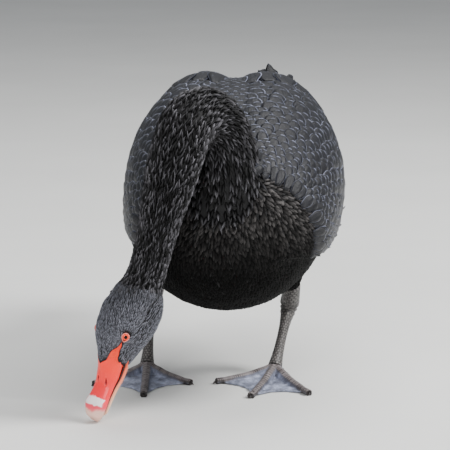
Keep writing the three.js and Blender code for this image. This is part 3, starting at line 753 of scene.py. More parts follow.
def eye_axes(side):
    """Ways out, forward and up for one eye."""
    out = eye_way(side)
    across = unit(BILL_DIRECTION - out * np.dot(out, BILL_DIRECTION))
    return out, across, np.cross(out, across)


def face_set_back(cosine):
    """How much of the V of the face each part of a section follows: all above, less at the chin."""
    return FACE_VEE * (0.7 + 0.3 * np.tanh(6 * cosine))


def head_surface(forward, around, inset=0.0):
    """A point of the head: around runs from 0 at the crown over the left side."""
    forward, around = np.broadcast_arrays(np.asarray(forward, float), around)
    sine, cosine = np.sin(around), np.cos(around)
    across = (HEAD_WIDTH(forward) - inset) * sine
    rise = cosine * np.where(cosine > 0, HEAD_CROWN(forward) - inset, HEAD_THROAT(forward) - inset)
    vee = np.clip((forward - 8) / (FACE_FRONT - 8), 0, 1) * face_set_back(cosine)
    away = np.hypot((forward - EYE_FORWARD) / 7, (rise - EYE_RISE - 2) / 6)
    across = across - np.sign(sine) * 1.6 * np.exp(-(away**2) * 1.2)
    return head_place(forward - vee * np.abs(across), across + HEAD_LEAN(forward), rise)


# The edges of the bare red strip from the eye to the bill: above by its width, below by its height
LORE_TOP = profile(
    [(9, 18.6), (12.6, 16.8), (16.8, 14.2), (21.2, 10.4), (26, 7.9), (31, 6.5), (35.7, 4.2), (38.6, 0.4)]
)
LORE_BOTTOM = profile(
    [
        (9, 7.2), (10.6, 6), (14.9, 3.5), (18.6, 2.5), (22.4, 0.7),
        (27.8, -1), (31, -5), (33, -12), (36, -30),
    ]
)


def bare_face(points):
    """1 on the bare red skin from the eye to the bill, 0 on the feathered head."""
    forward, left, up = head_coordinates(points)
    above = np.abs(left) - LORE_TOP(forward)
    below = up - LORE_BOTTOM(forward)
    inside = np.minimum(np.minimum(above, below), forward - 8)
    return np.clip(inside + 0.5, 0, 1)


def head_skin():
    """The smooth head, with its bare red part marked."""
    stations = np.concatenate([np.linspace(HEAD_REAR, -12, 40), np.linspace(-11, 37.6, 90)])
    around = np.linspace(0, 2 * np.pi, 150, endpoint=False)
    rings = np.array([head_surface(f, around, FACE_INSET) for f in stations])
    points, faces = tube(rings)
    return solid("head_skin", points, faces, attributes={"bare": bare_face(points)})


def skin_of_head():
    """Bare lores: finely pebbled orange red skin, framed by charcoal down."""
    material, tree = new_look("lore_skin_and_charcoal_down", 0.5, Specular_IOR_Level=0.25)
    bare = add(tree, "Attribute", out="Fac", attribute_name="bare")
    pebbles = mottle(tree, 900)
    red = add(tree, "ValToRGB", (pebbles,), stops=[(0.3, "#e82a10"), (0.7, "#fc4a28")])
    down = add(tree, "ValToRGB", (mottle(tree, 300),), stops=[(0.3, "#0b0b0d"), (0.7, "#17171a")])
    border = add(tree, "MapRange", (bare, 0.35, 0.65), **SMOOTH)
    colour = add(tree, "Mix", {0: border, 6: down, 7: red}, 2, **COLOURS)
    return surface(material, colour, pebbles, 0.3, 0.0003)


def eyeball(name, side):
    """A round eye whose rings run from the middle of the pupil."""
    out, across, rise = eye_axes(side)
    centre = eye_place(side)
    polar = np.linspace(0, np.pi, 41)
    angle = np.linspace(0, 2 * np.pi, 48, endpoint=False)
    rings = []
    ring_share = []
    for tilt in polar[1:-1]:
        radius = EYE_RADIUS * (1 + 0.035 * math.exp(-((tilt / 0.42) ** 4)))
        flat = np.cos(angle)[:, None] * across + np.sin(angle)[:, None] * rise
        rings.append(centre + radius * (math.cos(tilt) * out + math.sin(tilt) * flat))
        ring_share += [tilt] * len(angle)
    points, faces = tube(np.array(rings))
    return solid(name, points, faces, attributes={"tilt": ring_share + [0.0, np.pi]})


def wet_eye():
    """A wet bird's eye: black pupil, mottled orange red iris and dark rim, under a clear tear film."""
    tear_film = {"Coat_Weight": 0.25, "Coat_Roughness": 0.03}
    material, tree = new_look("wet_red_eye", 0.15, Specular_IOR_Level=0.1, **tear_film)
    tilt = add(tree, "Attribute", out="Fac", attribute_name="tilt")
    uneven = add(tree, "Math", (mottle(tree, 1800), 0.1), operation="MULTIPLY")
    off_pupil = add(tree, "Math", (tilt, uneven), operation="ADD")
    pupil = [(0.0, "#010101"), (0.36, "#010101")]
    iris = [(0.4, "#f0603c"), (0.46, "#ee3c1e"), (0.64, "#f04024")]
    colour = add(tree, "ValToRGB", (off_pupil,), stops=pupil + iris + [(0.74, "#7a1810")])
    return surface(material, colour)


def lid(name, side):
    """A thin raised rim of red skin round the eye, drawn out to a fine fold at its front corner."""
    out, across, rise = eye_axes(side)
    centre = eye_place(side, LID_RISE)
    rings = []
    for a in np.linspace(0, 2 * np.pi, 72, endpoint=False):
        way = math.cos(a) * across + math.sin(a) * rise
        corner = 1 + 0.3 * math.exp(-((math.atan2(math.sin(a), math.cos(a)) / 0.4) ** 2))
        reach = LID_RADIUS * corner * way * (1.0 - 0.06 * abs(math.sin(a)))
        middle = centre + reach - out * 0.6 * (corner - 1) * 6
        tube_size = 0.46 + 0.04 * math.sin(a * 17)
        ring = [
            middle + tube_size * (math.cos(b) * way + 0.85 * math.sin(b) * out)
            for b in np.linspace(0, 2 * np.pi, 12, endpoint=False)
        ]
        rings.append(ring)
    rings = np.array(rings)
    count, sides, _ = rings.shape
    faces = tube_faces(count, sides)
    last = (count - 1) * sides
    faces += [(last + j, last + (j + 1) % sides, (j + 1) % sides, j) for j in range(sides)]
    return solid(name, rings.reshape(-1, 3), faces)


def lid_skin():
    """Eyelid rim: thin moist skin, orange red, with pinker patches."""
    material, tree = new_look("eyelid_rim_skin", 0.4, Specular_IOR_Level=0.25)
    colour = add(tree, "ValToRGB", (mottle(tree, 1200),), stops=[(0.35, "#e85a40"), (0.65, "#f2a898")])
    return surface(material, colour)


# Bill, as in the solids: place, ridge height, gape depth, half width and droop of the whole section
UPPER_ROWS = [
    (24, 15.6, 13, 12.8, 6.6), (37, 15.6, 13, 12.8, 7.2), (46, 11.4, 10.4, 12.5, 9.4),
    (58, 6.6, 6.2, 12.2, 9.4), (70, 5.9, 5.2, 12.8, 7.7), (80, 5.8, 4.8, 14.3, 5.9),
    (88, 5.8, 4.4, 12.3, 7), (94, 4.8, 3.8, 8.8, 9.4), (97, 2.4, 2.2, 3.8, 12.4),
]
LOWER_ROWS = [
    (24, 0, 8.5, 12.6, -20.4), (37, 0, 8.2, 12.6, -20.2), (46, 0, 8, 12.4, -19.6), (58, 0, 8.4, 12.6, -15.4),
    (70, 0, 8, 12.8, -12.8), (80, 0, 7.6, 13.4, -10.8), (88, 0, 5.6, 9.8, -12), (91, 0, 2, 4, -13.6),
]
NOSTRIL_PLACE, NOSTRIL_SIDE = 54.0, 5.6


def bill_half(name, rows, lower):
    """Half a bill as one closed tube. Its feather edge runs back in a V on both sides of the ridge."""
    columns = row_profiles(rows)
    stations = np.concatenate([np.linspace(36.6, 80, 70), np.linspace(80.6, rows[-1][0], 30)])
    around = np.linspace(0, 2 * np.pi, 96, endpoint=False)
    sine, cosine = np.sin(around), np.cos(around)
    rings = []
    for f in stations:
        ridge, gape, half, droop = [float(column(f)) for column in columns]
        left = half * np.sign(sine) * np.abs(sine) ** 0.8
        if lower:
            up = droop + np.where(cosine > 0, 0.6 * cosine, gape * cosine)
        else:
            up = cosine * np.where(cosine > 0, ridge, gape) - droop
            along = (f - NOSTRIL_PLACE) / 4.4
            across = (np.abs(left) - NOSTRIL_SIDE - 0.12 * (f - NOSTRIL_PLACE)) / 1.2
            slit = along**2 + across**2
            above = cosine > 0
            up = up - np.where(above, 2.0 * np.exp(-(slit**1.5)), 0)
            up = up + np.where(above, 0.4 * np.exp(-((slit - 2.2) ** 2) * 1.4), 0)
            left = left * (1 - 0.012 * np.sin(f * 2 * np.pi / 2.1) * (np.abs(cosine) < 0.12) * (f > 40))
        back = face_set_back(cosine) * max(0.0, 1 - (f - 37) / 12)
        rings.append(head_place(f + 0.3 - back * np.abs(left), left, up))
    points, faces = tube(np.array(rings))
    forward, left, up = head_coordinates(points)
    slit = ((forward - NOSTRIL_PLACE) / 3.8) ** 2 + ((np.abs(left) - NOSTRIL_SIDE) / 0.9) ** 2
    nostril = np.clip(1.6 - slit, 0, 1) * (up > -8) * (not lower)
    attributes = {"forward": forward, "left": left, "nostril": nostril}
    return solid(name, points, faces, attributes=attributes)


# Horn tones over the share of 100 mm from the head's middle to beyond the tip
BILL_RED = [
    (0.2, "#ff3a18"), (0.42, "#ff2a18"), (0.56, "#fe2a2c"),
    (0.72, "#fa303e"), (0.85, "#f64e62"), (0.97, "#f0a090"),
]
BILL_UNDERSIDE = [
    (0.25, "#f05a3a"), (0.45, "#f4805c"), (0.62, "#f3ac88"), (0.8, "#f5cfae"), (0.9, "#efbfa4"),
]
BAND_START, BAND_END, BAND_HALF_WIDTH = 72.0, 82.5, 12.5  # the white band
NAIL_START, NAIL_FULL = 88.0, 92.0  # where the horn begins to turn pale, and where it is palest


def upper_tones(tree, place, share, left, wavy):
    """Red horn with a white band across it, and the pale nail beyond."""
    after = add(tree, "MapRange", (place, BAND_START, BAND_START + 1.5), **SMOOTH)
    before = add(tree, "MapRange", (place, BAND_END, BAND_END - 1.5), **SMOOTH)
    band = add(tree, "Math", (after, before), operation="MULTIPLY")
    off_side = add(tree, "Math", (left, wavy), operation="ADD")
    off_side = add(tree, "Math", (off_side,), operation="ABSOLUTE")
    inside = add(tree, "MapRange", (off_side, BAND_HALF_WIDTH, BAND_HALF_WIDTH - 1.3), **SMOOTH)
    band = add(tree, "Math", (band, inside), operation="MULTIPLY")
    red = add(tree, "ValToRGB", (share,), stops=BILL_RED)
    colour = add(tree, "Mix", {0: band, 6: red, 7: linear("#fbf3f2")}, 2, **COLOURS)
    set_back = add(tree, "Math", (left,), operation="ABSOLUTE")
    set_back = add(tree, "Math", (set_back, -0.5), operation="MULTIPLY")
    beyond = add(tree, "Math", (place, set_back), operation="SUBTRACT")
    nail = add(tree, "MapRange", (beyond, NAIL_START, NAIL_FULL), **SMOOTH)
    return add(tree, "Mix", {0: nail, 6: colour, 7: linear("#f0c4b4")}, 2, **COLOURS)


def bill_horn(name, lower):
    """Bill horn, smooth and waxy: orange red at the face, a white band near the tip, and a pale nail."""
    wax = {"Coat_Weight": 0.15, "Coat_Roughness": 0.15}
    material, tree = new_look(name, 0.3, Specular_IOR_Level=0.25, **wax)
    forward = add(tree, "Attribute", out="Fac", attribute_name="forward")
    left = add(tree, "Attribute", out="Fac", attribute_name="left")
    wavy = add(tree, "Math", (mottle(tree, 130), 0.5), operation="SUBTRACT")
    wavy = add(tree, "Math", (wavy, 6.0), operation="MULTIPLY")
    place = add(tree, "Math", (forward, wavy), operation="ADD")
    share = add(tree, "Math", (place, 100.0), operation="DIVIDE")
    if lower:
        colour = add(tree, "ValToRGB", (share,), stops=BILL_UNDERSIDE)
    else:
        colour = upper_tones(tree, place, share, left, wavy)
    streaks = mottle(tree, 420, 5.0, 0.7)
    pale = add(tree, "MapRange", (streaks, 0.5, 0.8), **SMOOTH)
    pale = add(tree, "Math", (pale, 0.1), operation="MULTIPLY")
    colour = add(tree, "Mix", {0: pale, 6: colour, 7: linear("#ffb4a0")}, 2, **COLOURS)
    # The nostril slit is painted dark red: painted shade in the nostril's opening.
    nostril = add(tree, "Attribute", out="Fac", attribute_name="nostril")
    nostril = add(tree, "MapRange", (nostril, 0.3, 0.9), **SMOOTH)
    colour = add(tree, "Mix", {0: nostril, 6: colour, 7: linear("#6a0c0c")}, 2, **COLOURS)
    return surface(material, colour, streaks, 0.2, 0.0003)


def mouth():
    """The dark line of the mouth: a thin wedge between the two halves of the bill, which carries painted
    shade.
    """
    stations = np.linspace(32, 86, 40)
    around = np.linspace(0, 2 * np.pi, 24, endpoint=False)
    _, _, half, droop = row_profiles(LOWER_ROWS)
    rings = []
    for forward in stations:
        left = (half(forward) - 1.6) * np.sin(around)
        up = droop(forward) + 0.8 + 1.4 * np.cos(around)
        rings.append(head_place(forward, left, up))
    points, faces = tube(np.array(rings))
    return solid("mouth_lining", points, faces)


def mouth_line_shade():
    """The mouth's wet lining, painted near black as the shade in the gap between the edges of the bill."""
    material, tree = new_look("mouth_line_painted_shade", 0.5)
    # Near black red: painted shade in the gap between the halves of the bill.
    colour = add(tree, "ValToRGB", (mottle(tree, 500),), stops=[(0.3, "#180808"), (0.7, "#3a1412")])
    return surface(material, colour)


# Coat regions
def grown(low, high, share):
    """A value part of the way from low to high."""
    return low + (high - low) * share


NECK_FURROWS = 42
HEAD_COAT_START = -47.0


def neck_coat(name, start, end, ground):
    """Furrowed neck: ridged tufts in lengthwise rows, which point down the neck to the body."""
    coat = Coat(name)
    at = end * NECK_LENGTH
    row = 0
    while at > start * NECK_LENGTH:
        share = at / NECK_LENGTH
        i = min(NECK_STATIONS, max(0, int(round(share * NECK_STATIONS))))
        radius = float(NECK_RADIUS(share))
        fine = min(1.0, max(0.0, (share - 0.72) / 0.28))
        pitch = 2 * np.pi * radius / NECK_FURROWS
        for k in range(NECK_FURROWS):
            wave = 0.22 * math.sin(at / 15 + k * 1.9) + rng.uniform(-0.1, 0.1)
            angle = 2 * np.pi * (k + 0.5 * (row % 2) * fine + wave) / NECK_FURROWS
            way = NECK_SIDE[i] * math.cos(angle) + NECK_OUT[i] * math.sin(angle)
            root = NECK_LINE[i] + way * radius + NECK_ALONG[i] * rng.uniform(-1.6, 1.6)
            if ground.gap(root) > 8:
                continue
            swing = math.radians((13 if (row + k) % 2 else -13) + rng.uniform(-9, 9)) * (1 - 0.6 * fine)
            across = np.cross(way, NECK_ALONG[i])
            way_down = -NECK_ALONG[i] * math.cos(swing) + across * math.sin(swing)
            length = grown(12.5, 8, fine) * rng.uniform(0.8, 1.2)
            path = walk(ground, root, way_down, length, 4)
            lifts = np.array([0.2, 0.8, 1.0, 0.8]) * grown(3.6, 2.2, fine) * rng.uniform(0.7, 1.25)
            half = pitch * grown(0.4, 0.58, fine) * rng.uniform(0.8, 1.1)
            patch = ((k + 0.5 + wave) / NECK_FURROWS % 1, (share - start) / (end - start))
            shade = rng.uniform(0.1, 1.0) ** 2
            coat.lay(path, pointed(4, half), lifts, patch, shade, 0.4, -grown(2.2, 0.9, fine))
        at -= grown(4.0, 2.9, fine) * (radius / 26) ** 0.5
        row += 1
    return coat


def head_coat(ground):
    """Velvet of the head: very short narrow tufts that lie back from the bill."""
    coat = Coat("head_plumage")
    forward = HEAD_COAT_START
    row = 0
    while forward < FACE_FRONT + 0.4:
        fine = min(1.0, max(0.0, (forward + 30) / 50))
        across = grown(2.6, 1.8, fine)
        girth = np.pi * float(HEAD_WIDTH(forward) + (HEAD_CROWN(forward) + HEAD_THROAT(forward)) / 2)
        count = int(girth / across)
        for k in range(count):
            angle = 2 * np.pi * (k + 0.5 * (row % 2) + rng.uniform(-0.3, 0.3)) / count
            root = head_surface(forward + rng.uniform(-0.5, 0.5), angle, FACE_INSET)
            if bare_face(root[None])[0] > 0.25:
                continue
            side = 1 if 0 < angle % (2 * np.pi) < np.pi else -1
            off_eye = root - eye_place(side, LID_RISE)
            if np.linalg.norm(off_eye) < 4.6:
                continue
            part = math.exp(-((np.linalg.norm(off_eye) / 9) ** 2)) * 0.12
            way = -BILL_DIRECTION - HEAD_UP * 0.12 + part * off_eye
            path = walk(ground, root, way, grown(6.5, 4.2, fine) * rng.uniform(0.8, 1.2), 3)
            lifts = np.array([0.15, 0.75, 0.9]) * grown(1.6, 0.9, fine) * rng.uniform(0.7, 1.3)
            patch = (angle / (2 * np.pi) % 1, (forward - HEAD_REAR) / 100)
            coat.lay(path, pointed(3, across * 0.6), lifts, patch, rng.uniform(0.4, 1.0), 0.3, -0.35)
        forward += grown(2.5, 1.8, fine)
        row += 1
    return coat


WING_FRONT, WING_REAR = -142.0, 206.0
COVERTS_LEAVE_SKIN = 108.0  # behind this place the coverts follow the wing's arch, and not the skin


def wing_feather(coat, wing, start, end, half, lift, curl, shade, patch, ruffle=0.0, thick=0.8, steps=12):
    """A feather along the wing from start to end in u and degrees, its lift growing from root to tip."""
    mid_u = min((start[0] + end[0]) / 2, 250)
    around = (float(WING_TOP(mid_u)) + float(WING_SPAN(mid_u))) / 2 * math.pi / 180

    def place(s, across):
        u = start[0] + (end[0] - start[0]) * s
        degrees = start[1] + (end[1] - start[1]) * s + across / around
        rise = lift[0] + (lift[1] - lift[0]) * s**0.8 + curl * np.maximum(0, s - 0.5) ** 2 * 4
        return wing_place(wing, u, degrees, rise)

    path = grid_path(place, steps)
    outward = np.einsum("ij,ij->i", path[1], path[0] - torso_place(0, 0, 0))
    if outward.mean() < 0:
        path = (path[0], -path[1], path[2])
    s = np.linspace(0, 1, steps)
    wave = ruffle * np.sin(s * 15 + shade * 9) * s
    coat.lay(path, rounded(steps, half, 0.3, 0.5), np.zeros(steps), patch, shade, thick, 0.9, 0.0, wave)


def row_step(wing, u, wanted):
    """How far along the wing the next row lies, for the wanted distance over its surface."""
    here, there = (shoulder(wing_place(wing, at, 30.0, 0), wing) for at in (u, u + 4))
    return wanted * 4 / max(4.0, float(np.linalg.norm(there - here)))


def wing_coat(name, wing, ground):
    """Scapulars and coverts: flat scalloped feathers in staggered rows from the shoulder to the rear."""
    coat = Coat(name)
    u = WING_FRONT
    row = 0
    while u < WING_REAR:
        share = (u - WING_FRONT) / (WING_REAR - WING_FRONT)
        centre = float(WING_ARCH_CENTRE(u))
        reach = float(WING_SPAN(u)) - centre - wing["tuck"]
        fold = math.degrees(math.asin(min(0.9, (centre - 3) / reach)))
        top = float(WING_TOP(u))
        low = wing_edge(wing["skirt"], u) + 2
        pitch = grown(8.5, 27, share)
        count = max(4, int((low + fold) * math.pi / 180 * (top + reach) / 2 / pitch))
        for k in range(count):
            part = (k + 0.5 * (row % 2) + rng.uniform(-0.2, 0.2)) / count
            degrees = -fold + (low + fold) * part
            at = u + rng.uniform(-2, 2)
            root = shoulder(wing_place(wing, at, degrees, 0), wing)
            half = pitch * 0.68 * rng.uniform(0.92, 1.08)
            length = grown(22, 66, share) * rng.uniform(0.92, 1.08)
            shade = rng.uniform(0.3, 1.0)
            patch = (part % 1, share)
            if u > COVERTS_LEAVE_SKIN:
                end = (at + length, degrees + grown(-4, 3, part) + rng.uniform(-1.5, 1.5))
                top_lift = grown(2.5, 6, share) * grown(1, 0.4, min(1, part * 1.4)) + 0.5 * (k % 2)
                lift = (-1.5, top_lift)
                wing_feather(coat, wing, (at, degrees), end, half, lift, 0, shade, patch, 0.3, 0.5, 8)
                continue
            if ground.gap(root) > 7:
                continue
            crown = 1 - part
            drift = grown(-0.06, 0.16, crown) * -wing["side"]
            down = -UPWARD * grown(0.2, -0.02, crown)
            way = TAILWARD + LEFTWARD * drift * 0.6 + down * (0.6 + 0.5 * (u < -60))
            steps = 7
            path = walk(ground, root, way, length, steps)
            s = np.linspace(0, 1, steps)
            lifts = 0.9 + 2.9 * s**0.8 + 0.45 * (k % 2)
            wave = 0.25 * np.sin(s * 9 + rng.uniform(0, 6)) * s
            coat.lay(path, rounded(steps, half, 0.3), lifts, patch, shade, 0.5, 0.6, 0.0, wave)
        u += row_step(wing, u, grown(6.8, 25, share))
        row += 1
    return coat


def grid_path(place, steps):
    """A path from a function of share along and share across, with its ways out and across."""
    s = np.linspace(0, 1, steps)
    middle = place(s, 0 * s)
    beside = place(s, 0 * s + 1.0)
    ahead = unit(np.gradient(middle, axis=0))
    side = unit(beside - middle)
    out = unit(np.cross(ahead, side))
    return middle, out, side


def mantle_coat():
    """Feathers of the saddle between the wings."""
    coat = Coat("mantle_feathers")
    for row, u in enumerate(np.arange(-64, 206, 10.5)):
        for k in range(-2, 3 + row % 2):
            v0 = 11.5 * (k - 0.5 * (row % 2)) + rng.uniform(-1.5, 1.5)
            length = grown(26, 44, (u + 64) / 270)

            def place(s, across, u=u, v0=v0, length=length):
                return mantle_place(u + s * length, v0 + across, -1.0 + 4.0 * s**0.8)

            path = grid_path(place, 7)
            path = (path[0], path[1] * np.sign(path[1] @ UPWARD)[:, None], path[2])
            patch = (0.5 + v0 / 90, (u + 64) / 300)
            half = rounded(7, 8.2, 0.3)
            coat.lay(path, half, np.full(7, 0.4 * (k % 2)), patch, rng.uniform(0.3, 1), 0.5, 0.6)
    return coat


# The curled feathers that stand up at the rear of each wing: u, degrees and curl
CURLED = {
    "left": [(176, 2, 6), (178, 10, 13), (184, 18, 8), (180, 34, 11), (184, 42, 8)],
    "right": [(170, 56, 6), (160, 66, 6)],
}


def flight_coat(name, wing, curled):
    """Tertials and inner secondaries, which hide most of the white flight feathers, and a few curled ones."""
    coat = Coat(name)
    for layer, count, from_u, run, width, lift in ((0, 10, 118, 122, 18, 1.5), (1, 9, 96, 104, 17, 0.5)):
        for i in range(count):
            part = i / (count - 1)
            start = (from_u - 40 * part + 14 * (i % 2), 2 + 78 * part)
            end = (start[0] + run - 12 * part + rng.uniform(-6, 8), start[1] - 7)
            patch = (part, 0.2 + 0.4 * layer)
            curl = rng.uniform(0, 3)
            wing_feather(coat, wing, start, end, width, (-4, lift), curl, rng.uniform(0.4, 1), patch, 1.2)
    for i, (u, degrees, curl) in enumerate(curled):
        start = (u, degrees)
        end = (u + 52, degrees - 3)
        patch = (i / len(curled), 0.95)
        wing_feather(coat, wing, start, end, 8.5, (1, 6), curl, rng.uniform(0.2, 0.7), patch, 2.6, 0.7, 14)
    return coat


def primaries(name, wing):
    """White flight feathers, folded away behind the tertials."""
    coat = Coat(name)
    for i in range(7):
        part = i / 6
        start = (104 - 22 * part, 84 - 20 * part)
        end = (start[0] + 222 - 36 * part, start[1] - 34)
        wing_feather(coat, wing, start, end, 11, (-9, -7.5 - 1.3 * i), 0, rng.uniform(0.5, 1), (part, 0.5))
    return coat


def tail_coat():
    """The short fan of the tail."""
    coat = Coat("tail_feathers")
    count = 18
    for i in range(count):
        share = 2 * i / (count - 1) - 1
        spread = math.radians(27 * share)
        length = 112 * (1 - 0.22 * share**2) + 30 + rng.uniform(-3, 2)
        layer = -7.2 * abs(share) - 6.5 + (i % 2) * 0.8

        def place(s, across, spread=spread, length=length, layer=layer, share=share):
            along = s * length
            u = 214 + along * math.cos(spread) - across * math.sin(spread)
            v = 26 * share + along * math.sin(spread) + across * math.cos(spread)
            return torso_place(u, v, layer + 2.5 * s**2 - 0.1 * along)

        path = grid_path(place, 12)
        path = (path[0], path[1] * np.sign(path[1] @ UPWARD)[:, None], path[2])
        half = rounded(12, 12.5, 0.25, 0.5)
        coat.lay(path, half, np.zeros(12), (share / 2 + 0.5, 0.5), rng.uniform(0.3, 0.9), 0.7, 1.0)
    return coat


def scattered(skin, room, candidates, wanted):
    """Evenly scattered points of the skin at least room apart, where wanted says so."""
    mesh = skin.data
    mesh.calc_loop_triangles()
    corners = np.empty(len(mesh.loop_triangles) * 3, np.int32)
    mesh.loop_triangles.foreach_get("vertices", corners)
    points, _ = mesh_points(mesh)
    triangles = points[corners.reshape(-1, 3)]
    one_side = triangles[:, 1] - triangles[:, 0]
    other_side = triangles[:, 2] - triangles[:, 0]
    areas = np.linalg.norm(np.cross(one_side, other_side), axis=1)
    keep = wanted(triangles.mean(1))
    triangles, areas = triangles[keep], areas[keep]
    pick = rng.choice(len(areas), candidates, p=areas / areas.sum())
    a, b = rng.random((2, len(pick)))
    flip = a + b > 1
    a[flip], b[flip] = 1 - a[flip], 1 - b[flip]
    chosen = triangles[pick]
    start = chosen[:, 0]
    places = start + (chosen[:, 1] - start) * a[:, None] + (chosen[:, 2] - start) * b[:, None]
    keys = (places // room).astype(int)
    grid = {}
    kept = []
    near_keys = [(x, y, z) for x in (-1, 0, 1) for y in (-1, 0, 1) for z in (-1, 0, 1)]
    for p, key in zip(places.tolist(), keys.tolist()):
        near = [q for dx, dy, dz in near_keys for q in grid.get((key[0] + dx, key[1] + dy, key[2] + dz), ())]
        if all((p[0] - q[0]) ** 2 + (p[1] - q[1]) ** 2 + (p[2] - q[2]) ** 2 > room * room for q in near):
            grid.setdefault(tuple(key), []).append(p)
            kept.append(p)
    return np.array(kept)


def under_wing(points):
    """True where a folded wing covers the body, with a little to spare at its edge."""
    u, v, w = torso_coordinates(points)
    centre = WING_ARCH_CENTRE(u)
    degrees = np.degrees(np.arctan2(np.abs(v) - centre, w))
    skirt = np.where(v > 0, WINGS["left"]["skirt"], WINGS["right"]["skirt"])
    edge = wing_edge(skirt, u) - 9
    reach = np.hypot(np.abs(v) - centre, w)
    return (u > WING_FRONT + 20) & (u < 210) & (degrees < edge) & (reach > 30) & (w > -60)


BREAST_END, RUMP_START = -40, 150  # places along the torso


def off_neck(points):
    """True on the body and clear of the neck."""
    share, away = neck_share(points)
    return (share < 0.1) | (away > NECK_RADIUS(share) * 1.1)


def body_way(point):
    """The lie of the body feathers: back to the tail, and down over the breast."""
    u, v, _ = (float(x) for x in torso_coordinates(point))
    front = min(1, max(0, (BREAST_END - u) / 130)) * (1 - 0.6 * min(1, abs(v) / 100))
    down = -UPWARD * (0.12 + 1.6 * front)
    knee, low = THIGHS["left" if v > 0 else "right"]
    near = math.exp(-((np.linalg.norm(point - (knee + low) / 2) / 34) ** 2))
    return TAILWARD * (1 - near) + down + near * 1.6 * unit(low - knee)


def breast_zone(points):
    """The front of the body, below and between the wings."""
    u, _, _ = torso_coordinates(points)
    return (u < BREAST_END) & off_neck(points) & ~under_wing(points)


def belly_zone(points):
    """The underside, back to the tail."""
    u, _, w = torso_coordinates(points)
    return (u >= BREAST_END) & ((u < RUMP_START) | (w < 0)) & ~under_wing(points)


def rump_zone(points):
    """The upper rear of the body, behind the wings."""
    u, _, w = torso_coordinates(points)
    return (u >= RUMP_START) & (w >= 0) & ~under_wing(points)


def soft_coat(name, skin, ground, zone, room, candidates, length, lift):
    """Short soft contour feathers, scattered evenly, which overlap like fur and lie along the body."""
    coat = Coat(name)
    for point in scattered(skin, room, candidates, zone):
        u, v, w = (float(x) for x in torso_coordinates(point))
        turn = rng.uniform(-0.25, 0.25)
        way = body_way(point) + LEFTWARD * turn
        path = walk(ground, point, way, length * rng.uniform(0.8, 1.2), 4)
        lifts = np.array([0.2, 0.6, 0.9, 1.0]) * lift * rng.uniform(0.75, 1.25)
        patch = (math.atan2(v, w) / (2 * math.pi) % 1, (u + 200) / 500)
        half = room * rng.uniform(0.6, 0.8)
        coat.lay(path, rounded(4, half, 0.35, 0.7), lifts, patch, rng.uniform(0.1, 1.0), 0.4, -0.6)
    return coat


# Legs and feet
LEGS = {
    "left": dict(
        joint=(56, 2, 13), ankle=(73, 44, 77), knee=(80, 6, 130),
        toes=dict(inner=(-10, -26, 0), middle=(28, -98, 0), outer=(92, -84, 0)), hind=(66, 32, 0),
    ),
    "right": dict(
        joint=(-88, 14, 13), ankle=(-84, 58, 80), knee=(-66, 14, 132),
        toes=dict(inner=(-38, -32, 0), middle=(-89, -92, 0), outer=(-146, -38, 0)), hind=(-86, 46, 0),
    ),
}
TARSUS_RADIUS = 6.4
SHANK_GIRTH = profile(
    [
        (0, 1.35), (0.1, 1.1), (0.26, 0.92), (0.42, 0.95), (0.54, 1.15),
        (0.64, 1.5), (0.72, 1.74), (0.82, 1.72), (1, 1.45),
    ]
)
ANKLE_SHARE = 0.7


def shank(name, leg):
    """The scaled tarsus and the wrinkled ankle, with overlapping scales in staggered rows."""
    joint, ankle, knee = (np.array(leg[k], float) for k in ("joint", "ankle", "knee"))
    marks = [joint + (ankle - joint) * k for k in (0.02, 0.35, 0.7, 1.0)]
    marks += [ankle + (knee - ankle) * k for k in (0.25, 0.5)]
    line, length = arc_table(np.array(marks), 190)
    along = unit(np.gradient(line, axis=0))
    side = unit(np.array([1.0, 0, 0]) - along * along[:, :1])
    out = np.cross(side, along)
    around = np.linspace(0, 2 * np.pi, 72, endpoint=False)
    rings, relief = [], []
    for i, t in enumerate(np.linspace(0, 1, 190)):
        girth = TARSUS_RADIUS * float(SHANK_GIRTH(t))
        row = t * length / 3.0
        turn = around / (2 * np.pi) * 12 + 0.5 * (np.floor(row) % 2)
        across = np.abs(turn % 1 - 0.5) * 2
        up = np.abs(row % 1 - 0.5) * 2
        scale = 1 - np.maximum(across, up) ** 5
        fold_share = math.exp(-(((t - ANKLE_SHARE) / 0.1) ** 2))
        fold = np.sin(t * 115 + 1.2 * np.sin(around * 2 + 1) + 0.6 * np.sin(around * 5))
        scale = scale * (1 - 0.8 * fold_share) + 0.8 * fold_share * (0.5 + 0.5 * fold)
        radius = girth + 0.4 * (scale - 0.6) + 0.7 * fold_share * fold
        ring = side[i] * np.cos(around)[:, None] * 0.92 + out[i] * np.sin(around)[:, None] * 1.12
        rings.append(line[i] + ring * radius[:, None])
        relief.append(scale)
    points, faces = tube(np.array(rings))
    values = np.concatenate([np.array(relief).ravel(), [0.5, 0.5]])
    return solid(name, points, faces, attributes={"scale": values})


def toe_lines(leg):
    """Each toe's midline from the foot's joint to its tip, the same as the solids'."""
    start = np.array(leg["joint"], float)
    lines = {}
    for toe, tip in leg["toes"].items():
        end = np.array([tip[0], tip[1], 2.9])
        knuckle = start + (end - start) * 0.3
        knuckle[2] = 7.4
        far = start + (end - start) * 0.65
        far[2] = 4.0
        lines[toe] = arc_table(np.array([start, knuckle, far, end]), 60)
    return lines


